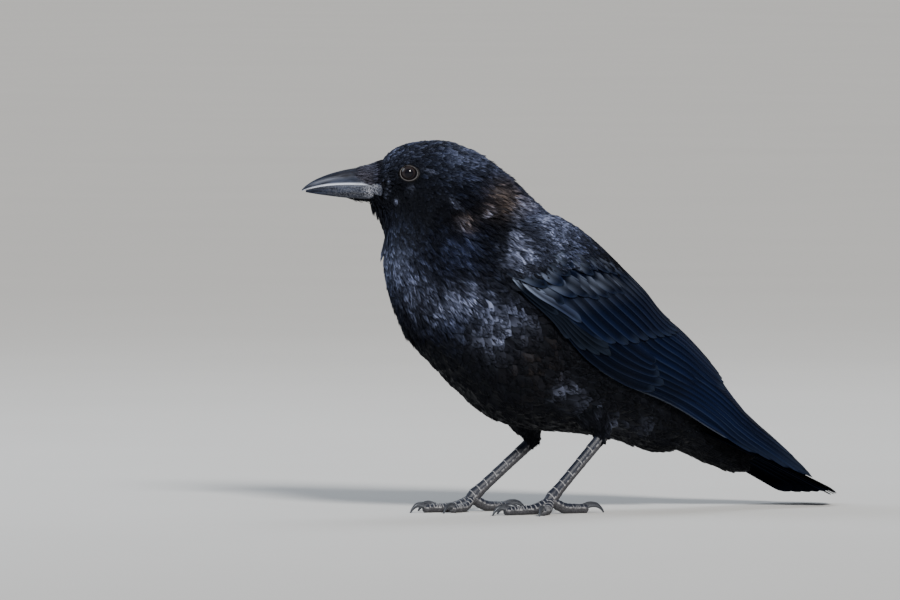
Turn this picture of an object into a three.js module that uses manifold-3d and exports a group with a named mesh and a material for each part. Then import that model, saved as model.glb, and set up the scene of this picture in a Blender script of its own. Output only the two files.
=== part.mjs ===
// An American crow, standing, as a still life-size model in millimetres.
// +Z is up, the bird faces -X and its left side is towards -Y.
// It is modelled from a neck pivot at x = 0 and a floor at z = 0, and the finished group is then
// moved along the floor so that the origin is below the centre of its box.
import * as THREE from "three";
import { mergeVertices } from "three/addons/utils/BufferGeometryUtils.js";
import Module from "manifold-3d";

const wasm = await Module();
wasm.setup();

// ---- driving dimensions ----
const GAP = 0.3; // air kept between neighbouring solids
const HEAD_TURN = 30; // degrees that the head turns to the bird's right
const BODY_SIDES = 24;
const RINGS_PER_STATION = 2;
const SEAM = 0.035; // half a cut between body lengths, in stations
const EYE = { along: -62.4, height: 221.4, side: 12.9, radius: 6.2 };
const TARSUS_SIDES = 10;
const TOE_SIDES = 7;
const CLAW_SIDES = 6;
const FLOOR_CUT = 120; // reach of the block that trims the soles flat

const LEFT = -1;
const RIGHT = 1;
const SIDES = [
  { name: "left", side: LEFT },
  { name: "right", side: RIGHT },
];

// ---- colours ----
const paint = (color, roughness, metalness = 0) =>
  new THREE.MeshStandardMaterial({ color, roughness, metalness });
const materials = {
  plumage: paint("#0d0f16", 0.5),
  flight: paint("#0a1020", 0.35),
  bill: paint("#23262c", 0.35),
  eye: paint("#1c1210", 0.08),
  scale: paint("#1d2129", 0.45),
  claw: paint("#22262d", 0.3),
};

// ---- geometry helpers ----
const v3 = (x, y, z) => new THREE.Vector3(x, y, z);
const radians = THREE.MathUtils.degToRad;
const mix = THREE.MathUtils.lerp;
const smooth = THREE.MathUtils.smoothstep;

// A point `along` the bird in a plane turned about the vertical through the neck pivot.
function turned(along, across, height, turn) {
  const angle = radians(turn);
  return v3(
    along * Math.cos(angle) + across * Math.sin(angle),
    -along * Math.sin(angle) + across * Math.cos(angle),
    height,
  );
}

// A closed skin over a row of rings, with a fan on each end.
function skinOver(rings) {
  const count = rings[0].length;
  const points = rings.flat();
  const faces = [];
  for (let r = 0; r + 1 < rings.length; r++) {
    for (let i = 0; i < count; i++) {
      const a = r * count + i;
      const b = r * count + ((i + 1) % count);
      faces.push(a, b, a + count, b, b + count, a + count);
    }
  }
  const centre = (ring) =>
    ring.reduce((sum, p) => sum.add(p), v3(0, 0, 0)).divideScalar(count);
  const last = (rings.length - 1) * count;
  points.push(centre(rings[0]), centre(rings[rings.length - 1]));
  for (let i = 0; i < count; i++) {
    const next = (i + 1) % count;
    faces.push(points.length - 2, next, i);
    faces.push(points.length - 1, last + i, last + next);
  }
  return new THREE.BufferGeometry()
    .setAttribute(
      "position",
      new THREE.Float32BufferAttribute(
        points.flatMap((p) => p.toArray()),
        3,
      ),
    )
    .setIndex(faces);
}

// A closed geometry as a manifold solid, turned to face outwards.
function solid(geometry) {
  const bare = geometry.clone();
  bare.deleteAttribute("normal");
  bare.deleteAttribute("uv");
  const merged = mergeVertices(bare, 1e-4);
  const index = new Uint32Array(merged.index.array);
  const build = () =>
    new wasm.Manifold(
      new wasm.Mesh({
        numProp: 3,
        vertProperties: merged.attributes.position.array,
        triVerts: index,
      }),
    );
  const made = build();
  if (made.volume() > 0) return made;
  for (let i = 0; i < index.length; i += 3) {
    [index[i + 1], index[i + 2]] = [index[i + 2], index[i + 1]];
  }
  return build();
}

function geometryOf(manifold) {
  const mesh = manifold.getMesh();
  const points = new Float32Array(mesh.numVert * 3);
  for (let i = 0; i < mesh.numVert; i++) {
    const from = i * mesh.numProp;
    points.set(mesh.vertProperties.subarray(from, from + 3), i * 3);
  }
  const geometry = new THREE.BufferGeometry()
    .setAttribute("position", new THREE.BufferAttribute(points, 3))
    .setIndex(new THREE.BufferAttribute(mesh.triVerts, 1));
  geometry.computeVertexNormals();
  return geometry;
}

// The main shell of a solid, without slivers or sealed pockets left by joining and cutting.
function mainShell(manifold) {
  return manifold.decompose().reduce((best, shell) => (shell.volume() > best.volume() ? shell : best));
}

const crow = new THREE.Group();
const bird = new THREE.Group();
crow.add(bird);

function addNode(name, manifold, material) {
  const mesh = new THREE.Mesh(geometryOf(mainShell(manifold)), material);
  mesh.name = name;
  bird.add(mesh);
}

// ---- body form ----
// Each station is a cross-section: where it meets the upper and the lower outline, as
// [distance along, height], its half width, how high up the section is widest, and how far
// its plane is turned with the head.
const station = (turn, upper, lower, half, level = 0.5) => ({
  turn,
  upper,
  lower,
  half,
  level,
});

const bodyStations = [
  station(HEAD_TURN, [-81, 227.6], [-89, 203.6], 9.6, 0.5), // bill base
  station(HEAD_TURN, [-75, 234.4], [-81.5, 195], 13.8, 0.56), // lores
  station(HEAD_TURN, [-66, 239.2], [-77.5, 185], 17, 0.6), // eyes
  station(HEAD_TURN, [-53, 241.6], [-77.5, 174], 20.5, 0.58), // crown to throat
  station(26, [-35.5, 241], [-79, 162.5], 24.5, 0.54), // hind crown
  station(18, [-16.5, 232.5], [-77.5, 148.5], 31, 0.5), // nape
  station(8, [0, 219], [-74, 131.5], 38.5, 0.48), // shoulders
  station(0, [17, 203.5], [-67.5, 113.5], 44.5, 0.48), // front of the breast
  station(0, [33.5, 191], [-51.5, 97.5], 47, 0.48),
  station(0, [51.5, 178.5], [-31, 79], 47.5, 0.48),
  station(0, [71, 162.8], [-8.5, 62], 46, 0.47), // deepest belly
  station(0, [91, 144], [20, 54.5], 42.5, 0.46),
  station(0, [107.5, 126.5], [50, 51.5], 37, 0.46),
  station(0, [122.5, 108.5], [82, 47], 31, 0.47),
  station(0, [136, 90], [105, 39.5], 24.5, 0.5),
  station(0, [148, 73.5], [131, 38.3], 18.5, 0.52), // vent
  station(0, [161, 59.5], [152, 30.3], 13.5, 0.55), // coverts under the root of the tail
  station(0, [178, 45], [175.5, 22], 9, 0.55),
];
const HEAD_END = 4.5; // stations where the body is parted
const NECK_END = 6.35;

// A smooth run of cross-sections through a list of stations.
class Form {
  constructor(stations) {
    const last = stations.length - 1;
    const curve = (pick) => new THREE.CatmullRomCurve3(stations.map(pick), false, "centripetal");
    this.last = last;
    this.upper = curve((s) => turned(s.upper[0], 0, s.upper[1], s.turn));
    this.lower = curve((s) => turned(s.lower[0], 0, s.lower[1], s.turn));
    this.shape = new THREE.CatmullRomCurve3(
      stations.map((s) => v3(s.half, s.turn, s.level * 10)),
      false,
      "catmullrom",
      0.5,
    );
  }

  // The point at a station and an angle from the back (0) to the belly (180), lifted off the form.
  point(at, angle, side, lift = 0) {
    const t = at / this.last;
    const upper = this.upper.getPoint(t);
    const lower = this.lower.getPoint(t);
    const { x: half, y: turn, z: tenLevels } = this.shape.getPoint(t);
    const up = upper.clone().sub(lower).multiplyScalar(0.5);
    const reach = up.length();
    const middle = upper.clone().add(lower).multiplyScalar(0.5);
    const c = Math.cos(radians(angle));
    const s = Math.sin(radians(angle));
    const slide = (tenLevels / 10 - 0.5) * 2 * s * s;
    const rise = c + slide * (1 - Math.abs(c));
    return middle
      .addScaledVector(up, rise * (1 + lift / reach))
      .add(turned(0, side * (half + lift) * s, 0, turn));
  }

  ring(at, sides, lift = 0) {
    const points = [];
    for (let i = 0; i < sides; i++) {
      const around = (360 * i) / sides;
      const side = around <= 180 ? LEFT : RIGHT;
      points.push(this.point(at, around <= 180 ? around : 360 - around, side, lift));
    }
    return points;
  }

  // The stretch between two stations as a solid.
  length(from, to, lift = 0) {
    const steps = Math.max(2, Math.round((to - from) * RINGS_PER_STATION));
    const rings = [];
    for (let i = 0; i <= steps; i++) {
      rings.push(this.ring(mix(from, to, i / steps), BODY_SIDES, lift));
    }
    return solid(skinOver(rings));
  }
}

const body = new Form(bodyStations);
const bodyEnd = bodyStations.length - 1;

// ---- eyes ----
const eyeCentre = (side) => turned(EYE.along, side * EYE.side, EYE.height, HEAD_TURN);

function eyeball(side, grow = 0) {
  const geometry = new THREE.SphereGeometry(EYE.radius + grow, 11, 8);
  return solid(geometry).translate(eyeCentre(side).toArray());
}

// ---- bill ----
// Sections from the face to the tip: the distance along, the height of the ridge, of the gape
// line and of the lower edge, and the half width at the gape.
const billSections = [
  { along: -70, ridge: 228.5, gape: 211, under: 203.6, half: 9.2 },
  { along: -81, ridge: 227.2, gape: 212, under: 203.6, half: 9.2 },
  { along: -92, ridge: 225.2, gape: 213.2, under: 204.2, half: 8.2 },
  { along: -104, ridge: 223.2, gape: 213.4, under: 205, half: 6.6 },
  { along: -115, ridge: 220.2, gape: 212.8, under: 206.3, half: 4.7 },
  { along: -124, ridge: 216.4, gape: 211.4, under: 207.6, half: 2.9 },
  { along: -129.5, ridge: 212.8, gape: 210.1, under: 208.6, half: 1.5 },
  { along: -132, ridge: 210.4, gape: 209.2, under: 208.4, half: 0.7 },
];
const UPPER_JAW = { edge: "ridge", roundness: 0.85, last: billSections.length };
const LOWER_JAW = { edge: "under", roundness: 0.6, last: billSections.length - 1 };
const JAW_STEPS = 6;

// One jaw, from the gape line to its own edge, with a rounded section.
function jaw({ edge, roundness, last }) {
  const rings = billSections.slice(0, last).map((section) => {
    const sign = edge === "ridge" ? 1 : -1;
    const start = section.gape + (sign * GAP) / 2;
    const height = Math.max(0.5, Math.abs(section[edge] - start));
    const points = [];
    for (let i = -JAW_STEPS; i <= JAW_STEPS; i++) {
      const angle = (Math.PI / 2) * (1 - Math.abs(i) / JAW_STEPS);
      const across = Math.sign(i) * section.half * Math.pow(Math.cos(angle), roundness);
      const up = sign * height * Math.sin(angle);
      points.push(turned(section.along, across, start + up, HEAD_TURN));
    }
    return points;
  });
  return solid(skinOver(rings));
}

// ---- wings ----
// The folded wings lie on a form of their own: the body's stations as far as the rump, then
// the bundle of long feathers over the tail.
const wingStations = [
  ...bodyStations.slice(0, 13),
  station(0, [126, 112.5], [80, 46], 34, 0.48),
  station(0, [143.5, 97.5], [106, 42], 29, 0.5),
  station(0, [160, 81.5], [129, 36], 25, 0.52),
  station(0, [174.5, 64], [151, 29], 22, 0.54),
  station(0, [203, 41], [184, 19], 18, 0.56),
  station(0, [229, 19.8], [214, 11], 13, 0.56),
];
const wingForm = new Form(wingStations);
const UNDER_WING = 1.4; // lift of the wing's inner face off the form
const RIM = 0.7; // least thickness
const EDGE_SHIFT = 0.3; // degrees between the edges of neighbouring feathers

// Reads a value from an even row of them, by station.
const along = (first, last, values) => (at) => {
  const share = Math.min(0.9999, Math.max(0, (at - first) / (last - first)));
  const place = share * (values.length - 1);
  const index = Math.floor(place);
  return mix(values[index], values[index + 1], place - index);
};

// Even shares from 0 to 1.
const evenly = (steps) => Array.from({ length: steps + 1 }, (_, i) => i / steps);

// A closed plate between two grids of points.
function plate(outer, inner) {
  const rows = outer.length;
  const columns = outer[0].length;
  const points = [...outer.flat(), ...inner.flat()];
  const under = rows * columns;
  const faces = [];
  const quad = (a, b, c, d) => faces.push(a, b, c, a, c, d);
  for (let i = 0; i + 1 < rows; i++) {
    for (let j = 0; j + 1 < columns; j++) {
      const a = i * columns + j;
      quad(a, a + 1, a + columns + 1, a + columns);
      quad(under + a, under + a + columns, under + a + columns + 1, under + a + 1);
    }
    for (const [j, turn] of [[0, false], [columns - 1, true]]) {
      const a = i * columns + j;
      if (turn) quad(a, under + a, under + a + columns, a + columns);
      else quad(a, a + columns, under + a + columns, under + a);
    }
  }
  for (let j = 0; j + 1 < columns; j++) {
    const a = (rows - 1) * columns + j;
    quad(j, under + j, under + j + 1, j + 1);
    quad(a, a + 1, under + a + 1, under + a);
  }
  return solid(
    new THREE.BufferGeometry()
      .setAttribute(
        "position",
        new THREE.Float32BufferAttribute(points.flatMap((p) => p.toArray()), 3),
      )
      .setIndex(faces),
  );
}

// A tract of the wing from one station back. `ends` are the stations where its feathers end,
// from the lowest feather to the highest; each feather's lower edge laps over the one below.
function tract({ side, from, ends, top, bottom, thick, lap, rows }) {
  const outer = [];
  const inner = [];
  for (const share of rows) {
    const over = [];
    const under = [];
    ends.forEach((end, order) => {
      const at = mix(from, end, share);
      const fine = share > 0.99 ? RIM : Math.max(RIM, thick(at));
      for (const edge of [0, 1]) {
        const place = (order + edge) / ends.length;
        const crown = 1 - Math.pow(2 * place - 1, 6);
        const angle = mix(bottom(at), top(at), place) + (edge ? EDGE_SHIFT : -EDGE_SHIFT);
        const depth = RIM + (fine - RIM) * Math.max(0.15, crown) + (edge ? 0 : lap);
        over.push(wingForm.point(at, angle, side, UNDER_WING + depth));
        under.push(wingForm.point(at, angle, side, UNDER_WING));
      }
    });
    outer.push(over);
    inner.push(under);
  }
  return plate(outer, inner);
}

function wing({ name, side }, droop, reach) {
  const lowEdge = along(7, 18, [98, 97.5, 97, 98, 100, 105, 112, 117, 119, 117, 114, 108]);
  const split = along(7, 16, [84, 86, 87, 87, 86, 85, 83, 80, 76, 70]);
  const drooped = (at) => droop * smooth(17 - at, 0, 6);
  const shoulder = tract({
    side,
    from: 6.8 - reach,
    ends: [10.62, 10.66, 10.64, 10.66, 10.62],
    top: along(6.8, 10.6, [46, 20, 10, 6, 5]),
    bottom: (at) => split(at) + drooped(at) - 1.5,
    thick: along(6.8 - reach, 10.6, [0.8, 3.8, 4.4, 4.4, 4, 3.6]),
    lap: 0.3,
    rows: evenly(7),
  });
  const hand = tract({
    side,
    from: 6.95 - reach,
    ends: [10.6, 11.5],
    top: (at) => split(at) + drooped(at),
    bottom: (at) => lowEdge(at) + drooped(at),
    thick: along(6.95 - reach, 11.4, [1.2, 3.2, 3, 2.2, 1.2]),
    lap: 0.5,
    rows: evenly(8),
  });
  const secondaries = tract({
    side,
    from: 10.74,
    ends: [14.8, 15, 15.15, 15.28, 15.36, 15.38, 15.34],
    top: along(10.7, 15.6, [4.5, 4, 3.5, 3, 3]),
    bottom: (at) => split(at) + drooped(at) - 1.5,
    thick: along(10.7, 15.6, [3, 3, 2.6, 2, 1.4]),
    lap: 0.5,
    rows: evenly(7),
  });
  const primaries = tract({
    side,
    from: 11.62,
    ends: [15.3, 16.5, 17.3, 17.8, 18],
    top: (at) => mix(split(at) + drooped(at), 8, smooth(at, 15.44, 15.66)),
    bottom: (at) => lowEdge(at) + drooped(at),
    thick: along(11.6, 18, [1.6, 2, 1.2, 0.8, 0.7]),
    lap: 0.5,
    rows: [0, 0.13, 0.26, 0.39, 0.51, 0.59, 0.635, 0.78, 0.89, 1],
  });
  return { shoulder, hand, secondaries, primaries };
}

// ---- tail ----
const TAIL = {
  root: v3(138, 0, 51.5), // where its middle line leaves the body
  pitch: 21.5, // degrees below level
  length: 115,
  feathers: 5, // on each side
  fan: 2, // degrees from one feather to the next
  half: 9.5, // half the width of a feather
  step: 0.7, // drop from one feather to the next
  thick: 1,
};

function tailFeather(order, side) {
  const { half, fan, length, step, thick } = TAIL;
  const reach = length - 0.55 * order * order;
  const outline = new THREE.Shape();
  outline.moveTo(0, -half * 0.55);
  outline.lineTo(reach * 0.55, -half);
  outline.quadraticCurveTo(reach * 0.97, -half, reach, side * half * 0.25);
  outline.quadraticCurveTo(reach * 0.96, half, reach * 0.55, half);
  outline.lineTo(0, half * 0.55);
  const blade = new THREE.ExtrudeGeometry(outline, {
    depth: thick,
    bevelEnabled: false,
    curveSegments: 3,
  });
  blade.translate(0, side * 1.2, 0);
  blade.rotateZ(side * radians(fan * (order + 0.4)));
  blade.rotateX(-side * radians(2.2 * order));
  blade.translate(0, side * order * 1.3, -step * (order + (side === RIGHT ? 0.4 : 0)));
  return blade;
}

function tail() {
  const blades = [];
  for (const side of [LEFT, RIGHT]) {
    for (let order = 0; order < TAIL.feathers; order++) {
      const blade = tailFeather(order, side);
      blade.rotateY(radians(TAIL.pitch));
      blade.translate(TAIL.root.x, TAIL.root.y, TAIL.root.z);
      blades.push(solid(blade));
    }
  }
  return wasm.Manifold.union(blades);
}

// ---- legs ----
// A limb is a round or oval tube through its joints, given as [point, radius].
function limb(joints, { sides = 12, steps = 12, flatten = 1, grow = 0 } = {}) {
  const path = new THREE.CatmullRomCurve3(joints.map(([point]) => point), false, "centripetal");
  const radii = new THREE.CatmullRomCurve3(
    joints.map(([, radius]) => v3(radius, 0, 0)),
    false,
    "catmullrom",
    0.4,
  );
  const rings = [];
  for (let i = 0; i <= steps; i++) {
    const t = i / steps;
    const middle = path.getPoint(t);
    const ahead = path.getTangent(t);
    const end = i === 0 ? -1 : i === steps ? 1 : 0;
    middle.addScaledVector(ahead, end * grow);
    const across = v3(0, 0, 1).cross(ahead);
    if (across.lengthSq() < 1e-3) across.set(0, 1, 0);
    across.normalize();
    const up = ahead.clone().cross(across).normalize();
    const radius = radii.getPoint(t).x + grow;
    const ring = [];
    for (let j = 0; j < sides; j++) {
      const angle = (2 * Math.PI * (j + 0.5)) / sides - Math.PI / 2; // an edge along the bottom
      ring.push(
        middle
          .clone()
          .addScaledVector(across, radius * flatten * Math.cos(angle))
          .addScaledVector(up, radius * Math.sin(angle)),
      );
    }
    rings.push(ring);
  }
  return solid(skinOver(rings));
}

// Where each leg stands. Heading is the way the foot points, in degrees to the bird's left.
const legs = [
  {
    ...SIDES[0],
    thigh: v3(46, -23, 72),
    heel: v3(60, -25, 51),
    foot: v3(18, -28, 9.5),
    heading: 4,
    toes: [
      { name: "middle", turn: 0, length: 34, radius: 3.2, claw: 11.5 },
      { name: "inner", turn: -27, length: 24, radius: 3, claw: 11 },
      { name: "outer", turn: 44, length: 26, radius: 2.9, claw: 9.5 },
      { name: "hind", turn: 176, length: 26, radius: 3.4, claw: 14 },
    ],
  },
  {
    ...SIDES[1],
    thigh: v3(22, 22, 70),
    heel: v3(36, 24, 46.5),
    foot: v3(-9, 27, 9.5),
    heading: -2,
    toes: [
      { name: "middle", turn: 0, length: 34, radius: 3.2, claw: 11.5 },
      { name: "inner", turn: 30, length: 24, radius: 3, claw: 11 },
      { name: "outer", turn: -36, length: 26, radius: 2.9, claw: 9.5 },
      { name: "hind", turn: 182, length: 26, radius: 3.4, claw: 14 },
    ],
  },
];
const SOLE = 0.5; // how much of a toe's round underside the floor flattens

const heading = (degrees) =>
  v3(-Math.cos(radians(degrees)), -Math.sin(radians(degrees)), 0);

// The joints of a toe: out of the foot, down to the floor, then along it over its pads.
function toeJoints(leg, toe) {
  const way = heading(leg.heading + toe.turn);
  const at = (share, height) =>
    v3(leg.foot.x, leg.foot.y, height).addScaledVector(way, toe.length * share);
  const r = toe.radius;
  const lie = r - SOLE;
  return [
    [at(0.02, leg.foot.z - 1), r * 0.95],
    [at(0.22, lie + 2.6), r],
    [at(0.42, lie + 0.5), r * 1.02],
    [at(0.56, lie + 0.35), r * 0.93],
    [at(0.7, lie), r],
    [at(0.84, lie + 0.2), r * 0.88],
    [at(1, lie - 0.1), r * 0.92],
    [at(1.06, lie + 0.1), r * 0.55],
  ];
}

function clawJoints(leg, toe) {
  const way = heading(leg.heading + toe.turn);
  const c = toe.claw;
  const at = (reach, height) =>
    v3(leg.foot.x, leg.foot.y, height).addScaledVector(way, toe.length + reach);
  return [
    [at(-1.5, toe.radius + 0.6), 2.3],
    [at(c * 0.25, toe.radius + 2), 2.1],
    [at(c * 0.6, toe.radius + 1.6), 1.6],
    [at(c * 0.88, toe.radius - 0.9), 0.9],
    [at(c, 0.1), 0.5],
  ];
}

const floorBlock = solid(
  new THREE.BoxGeometry(4 * FLOOR_CUT, 4 * FLOOR_CUT, FLOOR_CUT).translate(0, 0, -FLOOR_CUT / 2),
);

function leg(leg, trunkGrown) {
  const { name, thigh, heel, foot } = leg;
  const shin = (grow) =>
    limb(
      [
        [thigh, 15 ],
        [thigh.clone().lerp(heel, 0.45), 10.5],
        [thigh.clone().lerp(heel, 0.8), 7],
        [heel.clone().add(v3(-1.5, 0, -1.5)), 4.6],
      ],
      { sides: 14, steps: 6, flatten: 0.85, grow },
    );
  const towards = (share) => heel.clone().lerp(foot, share);
  const shank = (grow) =>
    limb(
      [
        [towards(-0.06), 3.6],
        [towards(0.03), 4.5],
        [towards(0.14), 4],
        [towards(0.5), 3.7],
        [towards(0.82), 3.8],
        [towards(0.97), 4.5],
        [foot.clone().add(v3(-2.5, 0, -2.6)), 3.6],
      ],
      { sides: TARSUS_SIDES, steps: 9, flatten: 0.75, grow },
    );
  const made = [
    [`thigh_${name}`, shin(0).subtract(trunkGrown), materials.plumage],
    [`tarsus_${name}`, shank(0).subtract(shin(GAP)).subtract(floorBlock), materials.scale],
  ];
  const taken = [shank(GAP)];
  for (const toe of leg.toes) {
    const joints = toeJoints(leg, toe);
    const whole = limb(joints, { sides: TOE_SIDES, steps: 7 });
    const free = taken.reduce((shape, other) => shape.subtract(other), whole);
    const grown = limb(joints, { sides: TOE_SIDES, steps: 7, grow: GAP });
    const claw = limb(clawJoints(leg, toe), { sides: CLAW_SIDES, steps: 4, flatten: 0.8 });
    made.push([`toe_${name}_${toe.name}`, free.subtract(floorBlock), materials.scale]);
    made.push([`claw_${name}_${toe.name}`, claw.subtract(grown).subtract(floorBlock), materials.claw]);
    taken.push(grown);
  }
  return made;
}

// ---- assembly ----
const headForm = body.length(0, HEAD_END - SEAM);
const grownEyes = SIDES.map(({ side }) => eyeball(side, GAP));
const headGrown = body.length(0, HEAD_END, GAP);
const trunk = body.length(NECK_END + SEAM, bodyEnd);
const trunkGrown = body.length(NECK_END + SEAM, bodyEnd, GAP);

addNode("head", grownEyes.reduce((shape, eye) => shape.subtract(eye), headForm), materials.plumage);
addNode("neck", body.length(HEAD_END + SEAM, NECK_END - SEAM), materials.plumage);
addNode("trunk", trunk, materials.plumage);
addNode("bill_upper", jaw(UPPER_JAW).subtract(headGrown), materials.bill);
addNode("bill_lower", jaw(LOWER_JAW).subtract(headGrown), materials.bill);
for (const { name, side } of SIDES) {
  addNode(`eye_${name}`, eyeball(side), materials.eye);
  const droop = side === RIGHT ? { low: 9, reach: 0.4 } : { low: 0, reach: 0 };
  for (const [part, shape] of Object.entries(wing({ name, side }, droop.low, droop.reach))) {
    addNode(`wing_${name}_${part}`, shape, materials.flight);
  }
}
addNode("tail", tail().subtract(trunkGrown), materials.flight);
for (const each of legs) {
  for (const [name, shape, material] of leg(each, trunkGrown)) addNode(name, shape, material);
}

// ---- origin ----
const box = new THREE.Box3().setFromObject(bird);
const middle = box.getCenter(v3(0, 0, 0));
bird.position.set(-middle.x, -middle.y, 0);

export default crow;
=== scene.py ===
import math

import bpy
import numpy as np
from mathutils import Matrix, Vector


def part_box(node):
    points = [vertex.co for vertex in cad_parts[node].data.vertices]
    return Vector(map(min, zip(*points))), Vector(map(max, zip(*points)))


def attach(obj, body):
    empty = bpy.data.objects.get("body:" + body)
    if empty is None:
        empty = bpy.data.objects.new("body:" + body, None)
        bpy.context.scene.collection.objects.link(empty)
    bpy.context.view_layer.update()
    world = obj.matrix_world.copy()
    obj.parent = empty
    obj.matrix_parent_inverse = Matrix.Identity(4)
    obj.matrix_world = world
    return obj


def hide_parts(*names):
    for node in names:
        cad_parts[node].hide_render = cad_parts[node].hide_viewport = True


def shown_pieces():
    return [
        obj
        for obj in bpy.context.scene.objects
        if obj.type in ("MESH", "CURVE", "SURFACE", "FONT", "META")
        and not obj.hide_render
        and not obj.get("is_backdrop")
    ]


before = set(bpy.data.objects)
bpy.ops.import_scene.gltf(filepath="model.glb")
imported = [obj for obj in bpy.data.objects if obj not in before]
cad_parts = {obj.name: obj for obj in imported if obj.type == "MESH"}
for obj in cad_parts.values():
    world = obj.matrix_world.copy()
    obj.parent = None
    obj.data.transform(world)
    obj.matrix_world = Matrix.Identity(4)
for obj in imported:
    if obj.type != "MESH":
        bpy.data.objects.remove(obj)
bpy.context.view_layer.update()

# Everything is worked out in millimetres from the neck pivot that the solids were drawn round,
# and moved into the frame when a mesh is made. The two eyes fix that move.
left, right = -1, 1
sides = {"left": left, "right": right}
headTurn = 30.0  # degrees that the head turns to the bird's right
eye = {
    "along": -62.4, "height": 221.4, "side": 12.9, "radius": 6.2,
    "wide": 1.1, "tall": 0.94,  # how far the lids stretch the round opening
    "iris": 0.74, "pupil": 0.46,  # shares of the radius
    "segments": 72, "rings": 56,
}
chance = np.random.default_rng(11)  # the one source of every random choice


def turned(along, across, height, turn):
    angle = np.radians(turn)
    return np.stack(np.broadcast_arrays(
        along * np.cos(angle) + across * np.sin(angle),
        -along * np.sin(angle) + across * np.cos(angle),
        height,
    ), -1)


def findShift():
    corners = [np.array(corner) * 1000 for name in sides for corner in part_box("eye_" + name)]
    shift = sum(corners) / len(corners) - turned(eye["along"], 0, eye["height"], headTurn)
    shift[2] = 0
    return shift


shift = findShift()
print("frame loaded, pivot at", shift.round(2).tolist(), "mm")


def smoothStep(value, low, high):
    share = np.clip((value - low) / (high - low), 0, 1)
    return share * share * (3 - 2 * share)


def unit(vectors):
    return vectors / np.maximum(np.linalg.norm(vectors, axis=-1, keepdims=True), 1e-9)


def dot(a, b):
    return (a * b).sum(-1, keepdims=True)


def bell(distance, width):
    return np.exp(-((distance / width) ** 2))


def spreadArrays(*values):
    return np.broadcast_arrays(*(np.asarray(value, float) for value in values))


# The tone of a piece: three painted amounts at each point, which its material reads.
def paintTone(mesh, tone):
    colors = np.ones((len(mesh.vertices), 4), np.float32)
    colors[:, :3] = tone.reshape(-1, 3)
    mesh.attributes.new("tone", "FLOAT_COLOR", "POINT").data.foreach_set("color", colors.ravel())


# Marks the edges that join two points of the same kind as sharp; kind 0 is left smooth.
def sharpen(mesh, kinds):
    ends = np.empty(len(mesh.edges) * 2, np.int32)
    mesh.edges.foreach_get("vertices", ends)
    pair = kinds[ends].reshape(-1, 2)
    marks = (pair[:, 0] == pair[:, 1]) & (pair[:, 0] > 0)
    mesh.attributes.new("sharp_edge", "BOOLEAN", "EDGE").data.foreach_set("value", marks)


def placePiece(name, mesh, material):
    mesh.materials.append(material)
    piece = bpy.data.objects.new(name, mesh)
    bpy.context.scene.collection.objects.link(piece)
    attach(piece, "root")
    return piece


# A mesh from arrays. A map has a place for each point, or one for each corner of each face.
def makePiece(name, points, faces, material, maps=None, tone=None, edge=None):
    mesh = bpy.data.meshes.new(name)
    points = (points.reshape(-1, 3) + shift) / 1000
    mesh.vertices.add(len(points))
    mesh.vertices.foreach_set("co", points.astype(np.float32).ravel())
    loops = np.concatenate([f.ravel() for f in faces]).astype(np.int32)
    totals = np.concatenate([np.full(len(f), f.shape[1]) for f in faces])
    starts = np.concatenate([[0], np.cumsum(totals)[:-1]]).astype(np.int32)
    mesh.loops.add(len(loops))
    mesh.loops.foreach_set("vertex_index", loops)
    mesh.polygons.add(len(starts))
    mesh.polygons.foreach_set("loop_start", starts)
    mesh.update(calc_edges=True)
    for layer, values in (maps or {}).items():
        corners = values if len(values) == len(loops) else values[loops]
        mesh.uv_layers.new(name=layer).uv.foreach_set("vector", corners.astype(np.float32).ravel())
    if tone is not None:
        paintTone(mesh, tone)
    mesh.shade_smooth()
    if edge is not None:
        sharpen(mesh, edge)
    return placePiece(name, mesh, material)


# Joins parts into one piece. A part has its points, faces, maps, tone and perhaps kinds of edge.
def joinParts(name, parts, material):
    def gather(arrays, width):
        return np.concatenate([one.reshape(-1, width) for one in arrays])

    offset, faces = 0, []
    for part in parts:
        faces += [f + offset for f in part["faces"]]
        offset += part["points"].size // 3
    points, tone = (gather([part[key] for part in parts], 3) for key in ("points", "tone"))
    maps = {key: gather([part["maps"][key] for part in parts], 2) for key in parts[0]["maps"]}
    edge = gather([part["edge"] for part in parts], 1)[:, 0] if "edge" in parts[0] else None
    return makePiece(name, points, faces, material, maps, tone, edge)


def flipped(faces, when=True):
    return [f[:, ::-1] for f in faces] if when else faces


# Rings of points or tones with the middle of the first and of the last ring added.
def withEnds(rings):
    return np.concatenate([rings.reshape(-1, 3), rings[[0, -1]].mean(1)])


# Faces of such rings: the tube, and a fan of triangles at each end.
def ringFaces(rows, columns):
    number = np.arange(rows * columns).reshape(rows, columns)
    following = np.roll(number, -1, 1)
    quads = np.stack([number[:-1], number[1:], following[1:], following[:-1]], -1).reshape(-1, 4)
    ends = np.full(columns, number.size)
    caps = ((ends, number[0], following[0]), (ends + 1, following[-1], number[-1]))
    return [quads, *(np.stack(cap, 1) for cap in caps)]


# Faces of a plate: one grid of points over another, and the wall round them.
def plateFaces(rows, columns):
    number = np.arange(rows * columns).reshape(rows, columns)
    over = np.stack([number[:-1, :-1], number[1:, :-1], number[1:, 1:], number[:-1, 1:]], -1).reshape(-1, 4)
    under = over[:, ::-1] + number.size
    rim = np.concatenate([number[0, :-1], number[:-1, -1], number[-1, :0:-1], number[:0:-1, 0]])
    ahead = np.roll(rim, -1)
    wall = np.stack([rim, ahead, ahead + number.size, rim + number.size], 1)
    return [over, under, wall]


perStation = 48  # steps of a smoothed curve between two of its stations


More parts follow.
